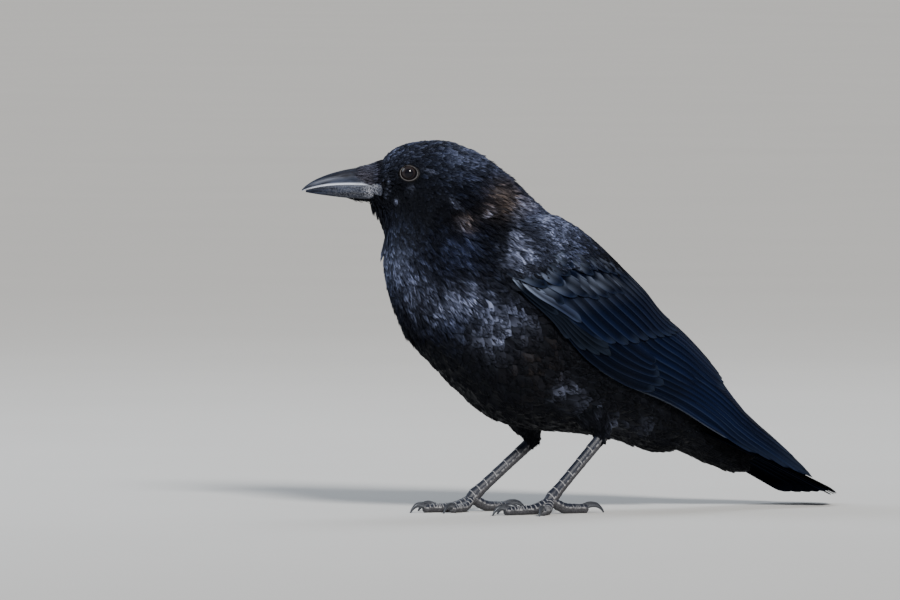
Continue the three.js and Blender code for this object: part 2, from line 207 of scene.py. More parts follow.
# A curve through points: even where a tension is given, and otherwise fitted to their spacing.
def smoothCurve(points, tension=None):
    points = np.asarray(points, float)
    if points.ndim == 1:
        points = points[:, None]
    count = len(points)
    rows = []
    s = np.arange(perStation)[:, None] / perStation
    for i in range(count - 1):
        p1, p2 = points[i], points[i + 1]
        p0 = points[i - 1] if i else 2 * p1 - p2
        p3 = points[i + 2] if i + 2 < count else 2 * p2 - p1
        if tension is None:
            d0, d1, d2 = (max(np.linalg.norm(b - a), 1e-4) ** 0.5 for a, b in ((p0, p1), (p1, p2), (p2, p3)))
            m1 = ((p1 - p0) / d0 - (p2 - p0) / (d0 + d1) + (p2 - p1) / d1) * d1
            m2 = ((p2 - p1) / d1 - (p3 - p1) / (d1 + d2) + (p3 - p2) / d2) * d1
        else:
            m1, m2 = tension * (p2 - p0), tension * (p3 - p1)
        rows.append(
            (2 * s**3 - 3 * s**2 + 1) * p1 + (s**3 - 2 * s**2 + s) * m1
            + (3 * s**2 - 2 * s**3) * p2 + (s**3 - s**2) * m2
        )
    rows.append(points[-1:])
    return np.vstack(rows)


# Reads a smoothed curve at places counted in its own steps.
def readTable(table, place):
    place = np.asarray(place, float)
    index = np.clip(np.floor(place).astype(int), 0, len(table) - 2)
    share = (place - index)[..., None]
    return table[index] * (1 - share) + table[index + 1] * share


# The forms that feathers grow on.
# A station is a cross-section: turn, upper and lower outline as (along, height), half width, and
# how high up the section is widest.
bodyStations = [
    (headTurn, (-81, 227.6), (-89, 203.6), 9.6, 0.5),  # bill base
    (headTurn, (-75, 234.4), (-81.5, 195), 13.8, 0.56),
    (headTurn, (-66, 239.2), (-77.5, 185), 17, 0.6),  # eyes
    (headTurn, (-53, 241.6), (-77.5, 174), 20.5, 0.58),
    (26, (-35.5, 241), (-79, 162.5), 24.5, 0.54),  # hind crown
    (18, (-16.5, 232.5), (-77.5, 148.5), 31, 0.5),
    (8, (0, 219), (-74, 131.5), 38.5, 0.48),  # shoulders
    (0, (17, 203.5), (-67.5, 113.5), 44.5, 0.48),
    (0, (33.5, 191), (-51.5, 97.5), 47, 0.48),
    (0, (51.5, 178.5), (-31, 79), 47.5, 0.48),
    (0, (71, 162.8), (-8.5, 62), 46, 0.47),  # deepest belly
    (0, (91, 144), (20, 54.5), 42.5, 0.46),
    (0, (107.5, 126.5), (50, 51.5), 37, 0.46),
    (0, (122.5, 108.5), (82, 47), 31, 0.47),
    (0, (136, 90), (105, 39.5), 24.5, 0.5),
    (0, (148, 73.5), (131, 38.3), 18.5, 0.52),  # vent
    (0, (161, 59.5), (152, 30.3), 13.5, 0.55),
    (0, (178, 45), (175.5, 22), 9, 0.55),
]
# The folded wings share the body's stations as far as the rump, then follow the long feathers.
wingStations = bodyStations[:13] + [
    (0, (126, 112.5), (80, 46), 34, 0.48),
    (0, (143.5, 97.5), (106, 42), 29, 0.5),
    (0, (160, 81.5), (129, 36), 25, 0.52),
    (0, (174.5, 64), (151, 29), 22, 0.54),
    (0, (203, 41), (184, 19), 18, 0.56),
    (0, (229, 19.8), (214, 11), 13, 0.56),
]


class Form:
    def __init__(self, stations):
        self.upper = smoothCurve([turned(s[1][0], 0, s[1][1], s[0]) for s in stations])
        self.lower = smoothCurve([turned(s[2][0], 0, s[2][1], s[0]) for s in stations])
        self.shape = smoothCurve([(s[3], s[0], s[4]) for s in stations], 0.5)

    # The point at a station and an angle from the back (0) to the belly (180), lifted off the form.
    def point(self, at, angle, side, lift):
        at, angle, side, lift = spreadArrays(at, angle, side, lift)
        place = at * perStation
        upper, lower = readTable(self.upper, place), readTable(self.lower, place)
        half, turn, level = np.moveaxis(readTable(self.shape, place), -1, 0)
        up = (upper - lower) / 2
        reach = np.linalg.norm(up, axis=-1)
        c, s = np.cos(np.radians(angle)), np.sin(np.radians(angle))
        rise = c + (level - 0.5) * 2 * s * s * (1 - np.abs(c))
        across = side * (half + lift) * s
        middle = (upper + lower) / 2 + up * (rise * (1 + lift / reach))[..., None]
        return middle + turned(0, across, 0, turn)


body = Form(bodyStations)


# The folded wing, in the left wing's own stations and angles. The right wing hangs a little lower
# and its shoulder reaches a little further forward.
wing = {
    "droop": 9, "reach": 0.4,
    "bed": 1.4,  # lift of the wing's inner face
    "rim": 0.7,
    "topStations": (np.linspace(6.8, 10.6, 5), np.linspace(10.7, 15.6, 5)),
    "topAngles": ((46, 20, 10, 6, 5), (4.5, 4, 3.5, 3, 3)),
    "edgeStations": (6.8, 7.2, 8.5, 11, 12.6, 13.7, 14.6, 15.4, 16.6, 18),
    "edgeAngles": (84, 90, 92.7, 92, 94.5, 101, 107, 108, 101, 80),
    "thickStations": (6.75, 7.35, 7.9, 8.5, 9.6, 10.6, 11.7, 12.9, 14.3, 15.6, 18),
    "thickness": (0, 3.4, 4.4, 4.4, 4, 3.6, 3.2, 2.8, 2.2, 1.6, 0.8),
}


# The angles at which the left wing begins below the back and ends over the flank.
def wingTop(at):
    front, back = (np.interp(at, *table) for table in zip(wing["topStations"], wing["topAngles"]))
    return np.where(at < 10.65, front, back)


def wingEdge(at):
    return np.interp(at, wing["edgeStations"], wing["edgeAngles"])


class WingForm(Form):
    def point(self, at, angle, side, lift):
        at, angle, side = spreadArrays(at, angle, side)
        far = side > 0
        drop = wing["droop"] * smoothStep(17 - at, 0, 6) * np.clip(angle / 70, 0, 1.1)
        pull = wing["reach"] * np.clip((10.6 - at) / 3.8, 0, 1)
        return super().point(at - pull * far, angle + drop * far, side, lift)


wingForm = WingForm(wingStations)


# How far the folded wing stands off the form at a place, 0 where there is no wing.
def wingCover(at, angle):
    top, edge = wingTop(at), wingEdge(at)
    place = np.clip((angle - top) / (edge - top), 0, 1)
    crown = np.clip(1 - np.abs(2 * place - 1) ** 5, 0, 1) * smoothStep(at, 6.75, 7.4)
    thick = np.interp(at, wing["thickStations"], wing["thickness"])
    return (wing["bed"] + wing["rim"]) * np.minimum(crown * 4, 1) + (thick - wing["rim"]) * crown


# A tubular form with its own lengths: `at` in millimetres along, `angle` in degrees round.
class Limb:
    def __init__(self, joints, flatten=1.0):
        self.path = smoothCurve([joint[0] for joint in joints])
        self.radii = smoothCurve([joint[1] for joint in joints], 0.4)
        self.flatten = flatten
        steps = np.linalg.norm(np.diff(self.path, axis=0), axis=1)
        self.ruler = np.concatenate([[0], np.cumsum(steps)])
        self.length = self.ruler[-1]

    def frameAt(self, at):
        place = np.interp(at, self.ruler, np.arange(len(self.ruler)))
        middle = readTable(self.path, place)
        ahead = unit(readTable(self.path, np.minimum(place + 1, len(self.path) - 1))
                     - readTable(self.path, np.maximum(place - 1, 0)))
        over = np.clip(at, None, 0) + np.clip(at - self.length, 0, None)
        middle = middle + ahead * over[..., None]
        across = unit(np.cross([0, 0, 1.0], ahead))
        return middle, ahead, across, np.cross(ahead, across), readTable(self.radii, place)[..., 0]

    # Angle 0 is the upper side, 90 the bird's left of it, 180 the underside.
    def point(self, at, angle, side, lift):
        at, angle, lift = spreadArrays(at, angle + 0 * side, lift)
        middle, ahead, across, up, radius = self.frameAt(at)
        s, c = np.sin(np.radians(angle)), np.cos(np.radians(angle))
        swell = (radius + lift)[..., None]
        return middle + across * swell * (self.flatten * s)[..., None] + up * swell * c[..., None]


# A level form, for the tail: `at` runs back from the root, `angle` is millimetres out from the middle.
class Plate:
    def __init__(self, root, pitch, arch):
        self.arch = arch
        p = math.radians(pitch)
        self.root = np.array(root, float)
        self.ahead = np.array([math.cos(p), 0, -math.sin(p)])
        self.up = np.array([math.sin(p), 0, math.cos(p)])

    def point(self, at, angle, side, lift):
        at, angle, side, lift = spreadArrays(at, angle, side, lift)
        out = np.array([0, 1.0, 0]) * (side * angle)[..., None]
        high = lift - self.arch * angle**2
        return self.root + self.ahead * at[..., None] + out + self.up * high[..., None]


# Markings, the same on skin and coat: blue sheen, a painted reflection of the plumage's gloss; brown wear,
# the feathers' own colour; and pale glints, painted where the light catches feather tips. Each is a place on
# the body (station, angle), how far it reaches along and around in millimetres, and how strong it is.
# Blue sheen, painted where the plumage's gloss reflects the light.
sheenSpots = [
    ((1.9, 8), (20, 15), 0.4),  # crown
    ((5.0, 22), (26, 24), 0.6),  # nape
    ((7.6, 22), (30, 26), 1.0),  # mantle
    ((6.95, 42), (12, 12), 0.8),  # along the collar
    ((8.2, 50), (20, 16), 0.9),  # scapulars
    ((5.9, 96), (14, 14), 0.75),  # side of the neck
    ((3.6, 168), (14, 20), 0.6),  # throat hackles
    ((5.3, 146), (20, 26), 0.55),  # upper breast
    ((6.9, 124), (16, 26), 0.65),  # scaled rows across the breast
    ((8.0, 112), (14, 14), 0.3),
    ((7.05, 75), (10, 10), 0.6),  # shoulder
]
wornSpots = [
    ((6.0, 40), (9, 12), 0.8), ((6.1, 52), (7, 9), 0.7), ((6.75, 32), (6, 9), 0.6), ((5.81, 66), (5, 4), 0.5),
    ((6.5, 47), (4, 7), 0.4), ((5.5, 81), (5, 4.5), 0.95), ((9.5, 118), (30, 20), 0.05),
]
# Painted glints, where the light catches the tips of feathers.
glintSpots = [
    ((5.45, 83), (3.5, 4), 0.4), ((5.81, 66), (3, 4), 0.3),  # painted glints on the ends of the worn neck feathers
    ((6.45, 49), (3.5, 8), 0.45), ((6.75, 32), (4, 9), 0.35),
    ((3.31, 90), (2.4, 2.0), 0.35), ((3.7, 63), (4.5, 1.2), 0.35),  # round the eye
    ((2.6, 110), (1.8, 1.8), 0.25),
    ((1.15, 104), (2.5, 5), 0.5), ((5.0, 75), (6, 2), 0.2),  # gape and ear
    ((2.4, 22), (24, 14), 0.09), ((5.0, 25), (18, 16), 0.16),  # crown and nape
    ((7.05, 75), (8, 9), 1.0), ((6.75, 66), (6, 6), 0.4),  # shoulder and scapulars
    ((7.4, 48), (14, 10), 0.4), ((7.6, 30), (24, 14), 0.32), ((8.1, 52), (14, 14), 0.25),
    ((3.5, 172), (12, 10), 0.35), ((4.7, 142), (16, 12), 0.25),  # throat and breast
    ((5.8, 146), (12, 14), 0.25), ((6.81, 117), (9, 12), 0.5), ((6.5, 130), (8, 13), 0.3),
    ((7.7, 110), (12, 12), 0.22),
    ((8.1, 126), (14, 13), 0.24), ((8.74, 104), (7, 7), 0.12), ((8.3, 115), (12, 12), 0.14),
    ((10.55, 120), (8, 7), 0.2), ((11.4, 127), (9, 6), 0.24),  # flank
    ((12.3, 145), (9, 7), 0.34), ((13.2, 138), (9, 9), 0.08),
]
# The markings are broken up by waves: how strong, how long in millimetres, and the seed.
breakUp = {"mean": 0.75, "waves": ((0.5, 7, 3), (0.35, 3, 9)), "least": 0.1, "most": 1.4}


def ripple(points, scale, seed):
    count = 5
    waves = np.random.default_rng(seed).normal(size=(count, 3)) / scale
    turns = np.random.default_rng(seed + 1).uniform(0, 6.28, count)
    return np.sin(points @ waves.T + turns).mean(-1)


def markings(points):
    def painted(spots):
        total = 0
        for (at, angle), (along, around), amount in spots:
            for side in (left, right):
                middle = body.point(at, angle, side, 0)
                ahead = unit(body.point(at + 0.05, angle, side, 0) - middle)
                away = points - middle
                forward = away @ ahead
                sideways = (away**2).sum(-1) - forward**2
                total = total + amount * np.exp(-((forward / along) ** 2) - sideways / around**2)
        return total

    rough = breakUp["mean"]
    for amount, length, seed in breakUp["waves"]:
        rough = rough + amount * ripple(points, length, seed)
    tone = np.stack([painted(spots) for spots in (sheenSpots, wornSpots, glintSpots)], -1)
    return np.clip(tone * np.clip(rough, breakUp["least"], breakUp["most"])[..., None], 0, 1)


# Materials. A node is added with its inputs, each a plain value or another node's output.
def addNode(tree, kind, inputs=None, **settings):
    node = tree.nodes.new("ShaderNode" + kind)
    for name, value in settings.items():
        setattr(node, name, value)
    for key, value in (inputs or {}).items():
        if isinstance(value, bpy.types.NodeSocket):
            tree.links.new(value, node.inputs[key])
        else:
            node.inputs[key].default_value = value
    return node


def calc(tree, operation, *values, clamp=False):
    return addNode(tree, "Math", dict(enumerate(values)), operation=operation, use_clamp=clamp).outputs[0]


def mixColor(tree, amount, first, second, way="MIX"):
    inputs = {0: amount, 6: first, 7: second}
    return addNode(tree, "Mix", inputs, data_type="RGBA", blend_type=way).outputs[2]


def band(tree, value, low, high, start=0.0, end=1.0):
    inputs = {0: value, 1: low, 2: high, 3: start, 4: end}
    return addNode(tree, "MapRange", inputs, interpolation_type="SMOOTHSTEP").outputs[0]


def newGroup(name, inputs, outputs):
    group = bpy.data.node_groups.new(name, "ShaderNodeTree")
    for label, kind, value in inputs:
        socket = group.interface.new_socket(label, in_out="INPUT", socket_type="NodeSocket" + kind)
        socket.default_value = value
    for label, kind in outputs:
        group.interface.new_socket(label, in_out="OUTPUT", socket_type="NodeSocket" + kind)
    return group, group.nodes.new("NodeGroupInput").outputs, group.nodes.new("NodeGroupOutput")


def placeGroup(tree, group, **values):
    return addNode(tree, "Group", values, node_tree=group).outputs


# The three amounts in the tone of a piece.
def toneAmounts(tree):
    tone = addNode(tree, "Attribute", attribute_name="tone").outputs["Color"]
    return addNode(tree, "SeparateColor", {0: tone}).outputs


# Noise that stays with the object, `size` waves to the metre.
def grainOf(tree, size, detail, roughness=0.5):
    place = addNode(tree, "TexCoord").outputs["Object"]
    inputs = {"Vector": place, "Scale": size, "Detail": detail, "Roughness": roughness}
    return addNode(tree, "TexNoise", inputs).outputs[0]


# Fine barbs that slant back from the shaft of each feather, as lines and as a height.
def barbGroup():
    group, given, result = newGroup(
        "barbs",
        [("Count", "Float", 40.0), ("Slant", "Float", 1.0), ("Break", "Float", 1.0)],
        [("Lines", "Float"), ("Along", "Float"), ("Across", "Float"), ("Edge", "Float")],
    )
    place = addNode(group, "UVMap", uv_map="vane").outputs[0]
    split = addNode(group, "SeparateXYZ", {0: place}).outputs
    across = calc(group, "ABSOLUTE", calc(group, "SUBTRACT", split[0], 0.5))
    slanted = calc(group, "SUBTRACT", split[1], calc(group, "MULTIPLY", across, given["Slant"]))
    noise = addNode(group, "TexNoise", {"Vector": place, "Scale": 9.0, "Detail": 3.0}).outputs[0]
    moved = calc(group, "MULTIPLY_ADD", noise, calc(group, "MULTIPLY", given["Break"], 0.05), slanted)
    wave = calc(group, "SINE", calc(group, "MULTIPLY", moved, calc(group, "MULTIPLY", given["Count"], 6.283)))
    onVane = band(group, across, 0.6, 0.7, 1.0, 0.0)  # strands are mapped off the vane and have no barbs
    lines = calc(group, "MULTIPLY_ADD", calc(group, "MULTIPLY_ADD", wave, 0.5, -0.3), onVane, 0.8)
    edge = calc(group, "MAXIMUM", band(group, across, 0.36, 0.48), band(group, split[1], 0.84, 0.97))
    edge = calc(group, "MULTIPLY", edge, onVane)
    for name, value in (("Lines", lines), ("Along", split[1]), ("Across", across), ("Edge", edge)):
        group.links.new(value, result.inputs[name])
    return group


# The markings painted on skin and coat: blue sheen and pale glints, which are painted light, and brown wear.
def markGroup():
    group, given, result = newGroup(
        "markings",
        [
            ("Ground", "Color", (0, 0, 0, 1)), ("Sheen", "Color", (0, 0, 1, 1)),
            ("Worn", "Color", (0.1, 0.05, 0, 1)), ("Glint", "Color", (1, 1, 1, 1)),
            ("Strength", "Float", 1.0), ("Tip", "Float", 1.0),
        ],
        [("Color", "Color"), ("Lit", "Float")],
    )
    amounts = toneAmounts(group)
    color = given["Ground"]
    glinted = calc(group, "MULTIPLY", amounts[2], given["Tip"])
    for amount, label in ((amounts[0], "Sheen"), (amounts[1], "Worn"), (glinted, "Glint")):
        share = calc(group, "MULTIPLY", amount, given["Strength"], clamp=True)
        color = mixColor(group, share, color, given[label])
    group.links.new(color, result.inputs["Color"])
    group.links.new(calc(group, "MAXIMUM", amounts[0], amounts[2]), result.inputs["Lit"])
    return group


# Spots and scratches in the surface's own space, for horn and hide.
def wearGroup():
    group, given, result = newGroup(
        "wear",
        [("Size", "Float", 500.0), ("Stretch", "Float", 1.0)],
        [("Mottle", "Float"), ("Scratch", "Float")],
    )
    mottle = grainOf(group, given["Size"], 5.0, 0.65)
    lined = addNode(group, "UVMap", uv_map="hide").outputs[0]
    scale = addNode(group, "CombineXYZ", {0: 1.0, 1: given["Stretch"], 2: 1.0}).outputs[0]
    drawn = addNode(group, "VectorMath", {0: lined, 1: scale}, operation="MULTIPLY").outputs[0]
    scratch = addNode(group, "TexNoise", {"Vector": drawn, "Scale": 26.0, "Detail": 4.0, "Roughness": 0.7})
    group.links.new(mottle, result.inputs["Mottle"])
    group.links.new(scratch.outputs[0], result.inputs["Scratch"])
    return group


barbs, marks, wear = barbGroup(), markGroup(), wearGroup()


def placeMarks(tree, look, **more):
    colors = {label.capitalize(): look[label] for label in ("ground", "sheen", "worn", "glint")}
    return placeGroup(tree, marks, **colors, **more)


def newMaterial(name, **constants):
    material = bpy.data.materials.new(name)
    material.use_nodes = True
    tree = material.node_tree
    shader = tree.nodes["Principled BSDF"]
    for label, value in constants.items():
        shader.inputs[label.replace("_", " ")].default_value = value
    return material, tree, shader


def wire(tree, shader, **outputs):
    for label, value in outputs.items():
        tree.links.new(value, shader.inputs[label.replace("_", " ")])


def bumpOf(tree, height, strength, distance):
    return addNode(tree, "Bump", {"Strength": strength, "Distance": distance, "Height": height}).outputs[0]


# Painted shade at its root and along its shaft, lined by barbs, and a painted highlight round the edge where
# the light catches it.
def featherMaterial(name, look):
    material, tree, shader = newMaterial(
        name, Specular_IOR_Level=look["gloss"], Specular_Tint=look["glossColor"], Metallic=look["metal"]
    )
    lines = placeGroup(tree, barbs, Count=look["barbs"], Slant=look["slant"], Break=look["break"])
    tip = band(tree, lines["Along"], 0.35, 0.9, look["glintRoot"], 1.0)
    painted = placeMarks(tree, look, Tip=tip)
    shade = calc(tree, "MULTIPLY", band(tree, lines["Lines"], 0.0, 1.0, 1 - look["lineDepth"], 1.0),
                 band(tree, lines["Along"], 0.25, 0.7, look["rootShade"], 1.0))
    shade = calc(tree, "MULTIPLY", shade, band(tree, lines["Across"], 0.0, 0.4, look["shaftShade"], 1.0))
    grey = addNode(tree, "CombineColor", {0: shade, 1: shade, 2: shade}).outputs[0]
    color = mixColor(tree, 1.0, painted["Color"], grey, "MULTIPLY")
    lit = calc(tree, "MULTIPLY_ADD", painted["Lit"], look["rim"], look["edge"])
    color = mixColor(tree, calc(tree, "MULTIPLY", lines["Edge"], lit), color, look["rimHighlightColor"])
    rough = band(tree, lines["Lines"], 0.0, 1.0, look["rough"] + 0.12, look["rough"])
    bump = bumpOf(tree, lines["Lines"], look["relief"], 0.0002)
    wire(tree, shader, Base_Color=color, Roughness=rough, Normal=bump)
    return material


# In each look, rootShade and shaftShade paint shade at the root and along the shaft; edge, rim and the rim
# colour paint a highlight round the feather's edge, stronger where sheen and glints are painted.
featherLooks = {
    "plumage": {
        "ground": (0.0022, 0.0021, 0.0028, 1), "sheen": (0.032, 0.042, 0.092, 1),
        "worn": (0.13, 0.1, 0.085, 1), "glint": (0.36, 0.41, 0.62, 1), "glintRoot": 0.12,
        "gloss": 0.1, "glossColor": (0.62, 0.74, 1.0, 1), "metal": 0.0, "rough": 0.42, "relief": 0.6,
        "barbs": 20.0, "slant": 0.8, "break": 1.0, "lineDepth": 0.45, "rootShade": 0.3, "shaftShade": 0.85,
        "rim": 0.6, "edge": 0.02, "rimHighlightColor": (0.13, 0.16, 0.25, 1),
    },
    "flight": {
        "ground": (0.0016, 0.0018, 0.0032, 1), "sheen": (0.0022, 0.0058, 0.026, 1),
        "worn": (0.0045, 0.0058, 0.0085, 1), "glint": (0.3, 0.36, 0.5, 1), "glintRoot": 1.0,
        "gloss": 0.1, "glossColor": (0.3, 0.5, 1.0, 1), "metal": 0.0, "rough": 0.45, "relief": 0.35,
        "barbs": 60.0, "slant": 0.22, "break": 0.5, "lineDepth": 0.35, "rootShade": 0.7, "shaftShade": 0.3,
        "rim": 0.1, "edge": 0.12, "rimHighlightColor": (0.03, 0.045, 0.08, 1),
    },
}
plumage = featherMaterial("plumage", featherLooks["plumage"])
flight = featherMaterial("flight", featherLooks["flight"])
rectrix = featherMaterial("rectrix", {**featherLooks["flight"], "gloss": 0.0, "shaftShade": 0.6})


skinLook = {
    "ground": (0.004, 0.004, 0.005, 1), "sheen": (0.008, 0.011, 0.02, 1), "worn": (0.02, 0.014, 0.01, 1),
    "glint": (0.03, 0.034, 0.045, 1), "strength": 0.8, "down": (0.002, 0.002, 0.003, 1),
}


def skinMaterial(look):
    material, tree, shader = newMaterial("skin", Specular_IOR_Level=0.02)
    painted = placeMarks(tree, look, Strength=look["strength"])
    down = grainOf(tree, 900.0, 4.0)
    color = mixColor(tree, calc(tree, "MULTIPLY", down, 0.5), painted["Color"], look["down"])
    rough = band(tree, down, 0.2, 0.8, 0.65, 0.9)
    wire(tree, shader, Base_Color=color, Roughness=rough, Normal=bumpOf(tree, down, 0.5, 0.0004))
    return material


# Horn: `tone` holds the painted highlight along the bill's cutting edge and the painted sheen above it (on a
# claw, its pale groove), the mottled gape and the brown of the ridge.
def hornMaterial(name, look):
    material, tree, shader = newMaterial(
        name, Specular_IOR_Level=look["gloss"], Specular_Tint=(0.85, 0.92, 1.0, 1)
    )
    spots = placeGroup(tree, wear, Size=look["size"], Stretch=look["stretch"])
    lined, mottled, browned = toneAmounts(tree)
    color = mixColor(tree, band(tree, spots["Scratch"], 0.35, 0.75), look["dark"], look["light"])
    brown = calc(tree, "MULTIPLY", browned, band(tree, spots["Mottle"], 0.3, 0.65))
    flakes = calc(tree, "MULTIPLY", mottled, band(tree, spots["Mottle"], 0.42, 0.6))
    # The painted highlight along the bill's cutting edge; on a claw, the pale groove.
    line = calc(tree, "MULTIPLY", lined, band(tree, spots["Scratch"], 0.2, 0.6))
    for amount, label in ((brown, "brown"), (flakes, "pale"), (line, "line")):
        color = mixColor(tree, amount, color, look[label])
    rubbed = band(tree, spots["Scratch"], 0.3, 0.8, look["rough"], look["rough"] + 0.2)
    rough = calc(tree, "MULTIPLY_ADD", flakes, 0.3, rubbed)
    height = calc(tree, "ADD", spots["Scratch"], calc(tree, "MULTIPLY", spots["Mottle"], 0.6))
    wire(tree, shader, Base_Color=color, Roughness=rough, Normal=bumpOf(tree, height, look["relief"], 0.0003))
    return material


bill = hornMaterial("billHorn", {
    "size": 1200.0, "stretch": 0.12, "dark": (0.004, 0.005, 0.009, 1), "light": (0.028, 0.036, 0.062, 1),
    "brown": (0.013, 0.012, 0.014, 1), "pale": (0.27, 0.28, 0.32, 1), "line": (0.6, 0.64, 0.76, 1),
    "rough": 0.38, "relief": 0.3, "gloss": 0.1,
})
claw = hornMaterial("clawHorn", {
    "size": 1500.0, "stretch": 0.2, "dark": (0.009, 0.01, 0.015, 1), "light": (0.034, 0.038, 0.046, 1),
    "brown": (0.05, 0.045, 0.04, 1), "pale": (0.16, 0.16, 0.17, 1), "line": (0.2, 0.21, 0.23, 1),
    "rough": 0.3, "relief": 0.2, "gloss": 0.3,
})


# Scaled hide: `tone` holds the pale seams and the grey pads; what is neither is a dark plate.
hideLook = {
    "size": 1800.0, "stretch": 0.5, "plate": ((0.0045, 0.0065, 0.0135, 1), (0.018, 0.022, 0.036, 1)),
    "pad": ((0.008, 0.0085, 0.011, 1), (0.055, 0.055, 0.062, 1)), "seam": (0.3, 0.3, 0.31, 1),
}


def hideMaterial(look):
    material, tree, shader = newMaterial("scaledHide", Specular_IOR_Level=0.3)
    mottle = placeGroup(tree, wear, Size=look["size"], Stretch=look["stretch"])["Mottle"]
    seams, pads = toneAmounts(tree)[:2]
    plate = mixColor(tree, band(tree, mottle, 0.35, 0.75), *look["plate"])
    pad = mixColor(tree, band(tree, mottle, 0.35, 0.65), *look["pad"])
    color = mixColor(tree, seams, mixColor(tree, pads, plate, pad), look["seam"])
    rough = calc(tree, "MULTIPLY_ADD", pads, 0.25, 0.36)
    rough = calc(tree, "MULTIPLY_ADD", mottle, 0.12, rough)
    wire(tree, shader, Base_Color=color, Roughness=rough, Normal=bumpOf(tree, mottle, 0.35, 0.0004))
    return material


# The eye: `tone` holds the distance from its axis, where the iris and pupil are drawn.
eyeLook = {
    "iris": ((0.007, 0.006, 0.0075, 1), (0.022, 0.017, 0.017, 1)), "pupil": (0.003, 0.003, 0.005, 1),
    "white": (0.004, 0.003, 0.003, 1),
}


def eyeMaterial(look):
    material, tree, shader = newMaterial(
        "eyeGlass", Roughness=0.1, Coat_Weight=0.16, Coat_Roughness=0.03, Specular_IOR_Level=0.1
    )
    away = toneAmounts(tree)[0]
    iris = mixColor(tree, grainOf(tree, 2200.0, 4.0), *look["iris"])
    color = mixColor(tree, band(tree, away, eye["pupil"] - 0.03, eye["pupil"] + 0.03), look["pupil"], iris)
    color = mixColor(tree, band(tree, away, eye["iris"] - 0.05, eye["iris"] + 0.04), color, look["white"])
    wire(tree, shader, Base_Color=color)
    return material


lidLook = {"dark": (0.003, 0.003, 0.0035, 1), "rim": ((0.045, 0.043, 0.045, 1), (0.15, 0.14, 0.14, 1))}


def lidMaterial(look):
    material, tree, shader = newMaterial("lidSkin", Specular_IOR_Level=0.2)
    grain = grainOf(tree, 2600.0, 3.0)
    rim = mixColor(tree, band(tree, grain, 0.35, 0.7), *look["rim"])
    color = mixColor(tree, toneAmounts(tree)[0], look["dark"], rim)
    rough = band(tree, grain, 0.2, 0.8, 0.4, 0.6)
    wire(tree, shader, Base_Color=color, Roughness=rough, Normal=bumpOf(tree, grain, 0.6, 0.0003))
    return material


skinDown, hide = skinMaterial(skinLook), hideMaterial(hideLook)
eyeGlass, lidSkin = eyeMaterial(eyeLook), lidMaterial(lidLook)
print("materials made")


rooting = {"steps": 200, "band": 22, "turns": 7}  # ruler steps, degrees in a band, and places read across it


def gapOf(sizes):
    gaps = np.broadcast_to(sizes["gap"], len(sizes["stations"]))
    return lambda at: np.interp(at, sizes["stations"], gaps)


# Where feathers root: rows over a span of stations and an arc of angles, some millimetres apart.
def plant(form, side, sizes):
    gap = gapOf(sizes)
    ruler = np.linspace(*sizes["span"], rooting["steps"])
    found = []
    first, last = sizes["arc"]
    bounds = np.linspace(first, last, max(1, round((last - first) / rooting["band"])) + 1)
    for low, high in zip(bounds[:-1], bounds[1:]):
        middle = (low + high) / 2
        steps = np.linalg.norm(np.diff(form.point(ruler, middle, side, 0), axis=0), axis=1)
        inner = (ruler[1:] + ruler[:-1]) / 2
        count = np.concatenate([[0], np.cumsum(steps / gap(inner))])
        turns = np.linspace(low, high, rooting["turns"])
        for order, at in enumerate(np.interp(np.arange(0.5, count[-1]), count, ruler)):
            reach = np.linalg.norm(np.diff(form.point(at, turns, side, 0), axis=0), axis=1)
            reach = np.concatenate([[0], np.cumsum(reach)])
            places = max(1, round(reach[-1] / (gap(at) * sizes.get("across", 1.0))))
            offsets = (np.arange(places) + 0.25 + 0.5 * (order % 2)) / places * reach[-1]
            angles = np.interp(offsets, reach, turns)
            found.append(np.stack([np.full(places, at), angles, np.full(places, side)], 1))
    at, angle, sideOf = np.concatenate(found).T
    ahead, around = measures(form, at, angle, sideOf)
    stray = gap(at) * sizes.get("jitter", 0.2)
    at = at + chance.normal(size=len(at)) * stray / np.linalg.norm(ahead, axis=-1)
    angle = angle + chance.normal(size=len(at)) * stray / np.linalg.norm(around, axis=-1)
    return {"at": at, "angle": angle, "side": sideOf}


def bothSides(form, sizes):
    both = [plant(form, side, sizes) for side in (left, right)]
    return {key: np.concatenate([one[key] for one in both]) for key in both[0]}


# Millimetres moved for each station and for each degree.
def measures(form, at, angle, side):
    step = 0.02
    ahead = (form.point(at + step, angle, side, 0) - form.point(at - step, angle, side, 0)) / (2 * step)
    around = form.point(at, angle + 0.5, side, 0) - form.point(at, angle - 0.5, side, 0)
    return ahead, around


# Follows each feather over the form from its root, `way` degrees off the line of the body.
def walk(form, roots, stops):
    at, angle = [roots["at"]], [roots["angle"]]
    way = np.radians(roots["way"])
    curl = np.radians(roots["curl"])
    for before, after in zip(stops[:-1], stops[1:]):
        step = (after - before) * roots["length"]
        ahead, around = measures(form, at[-1], angle[-1], roots["side"])
        size = np.linalg.norm(ahead, axis=-1)
        slip = dot(around, ahead / size[:, None])[:, 0]
        square = np.sqrt(np.maximum((around**2).sum(-1) - slip**2, 1e-6))
        turn = np.sin(way + curl * after) * step / square
        at.append(at[-1] + (np.cos(way + curl * after) * step - turn * slip) / size)
        angle.append(angle[-1] + turn)
    return np.stack(at, 1), np.stack(angle, 1)


webCurve, webSink = 1.5, 0.22  # how a web sweeps back, and how the outer web lies on what is below it


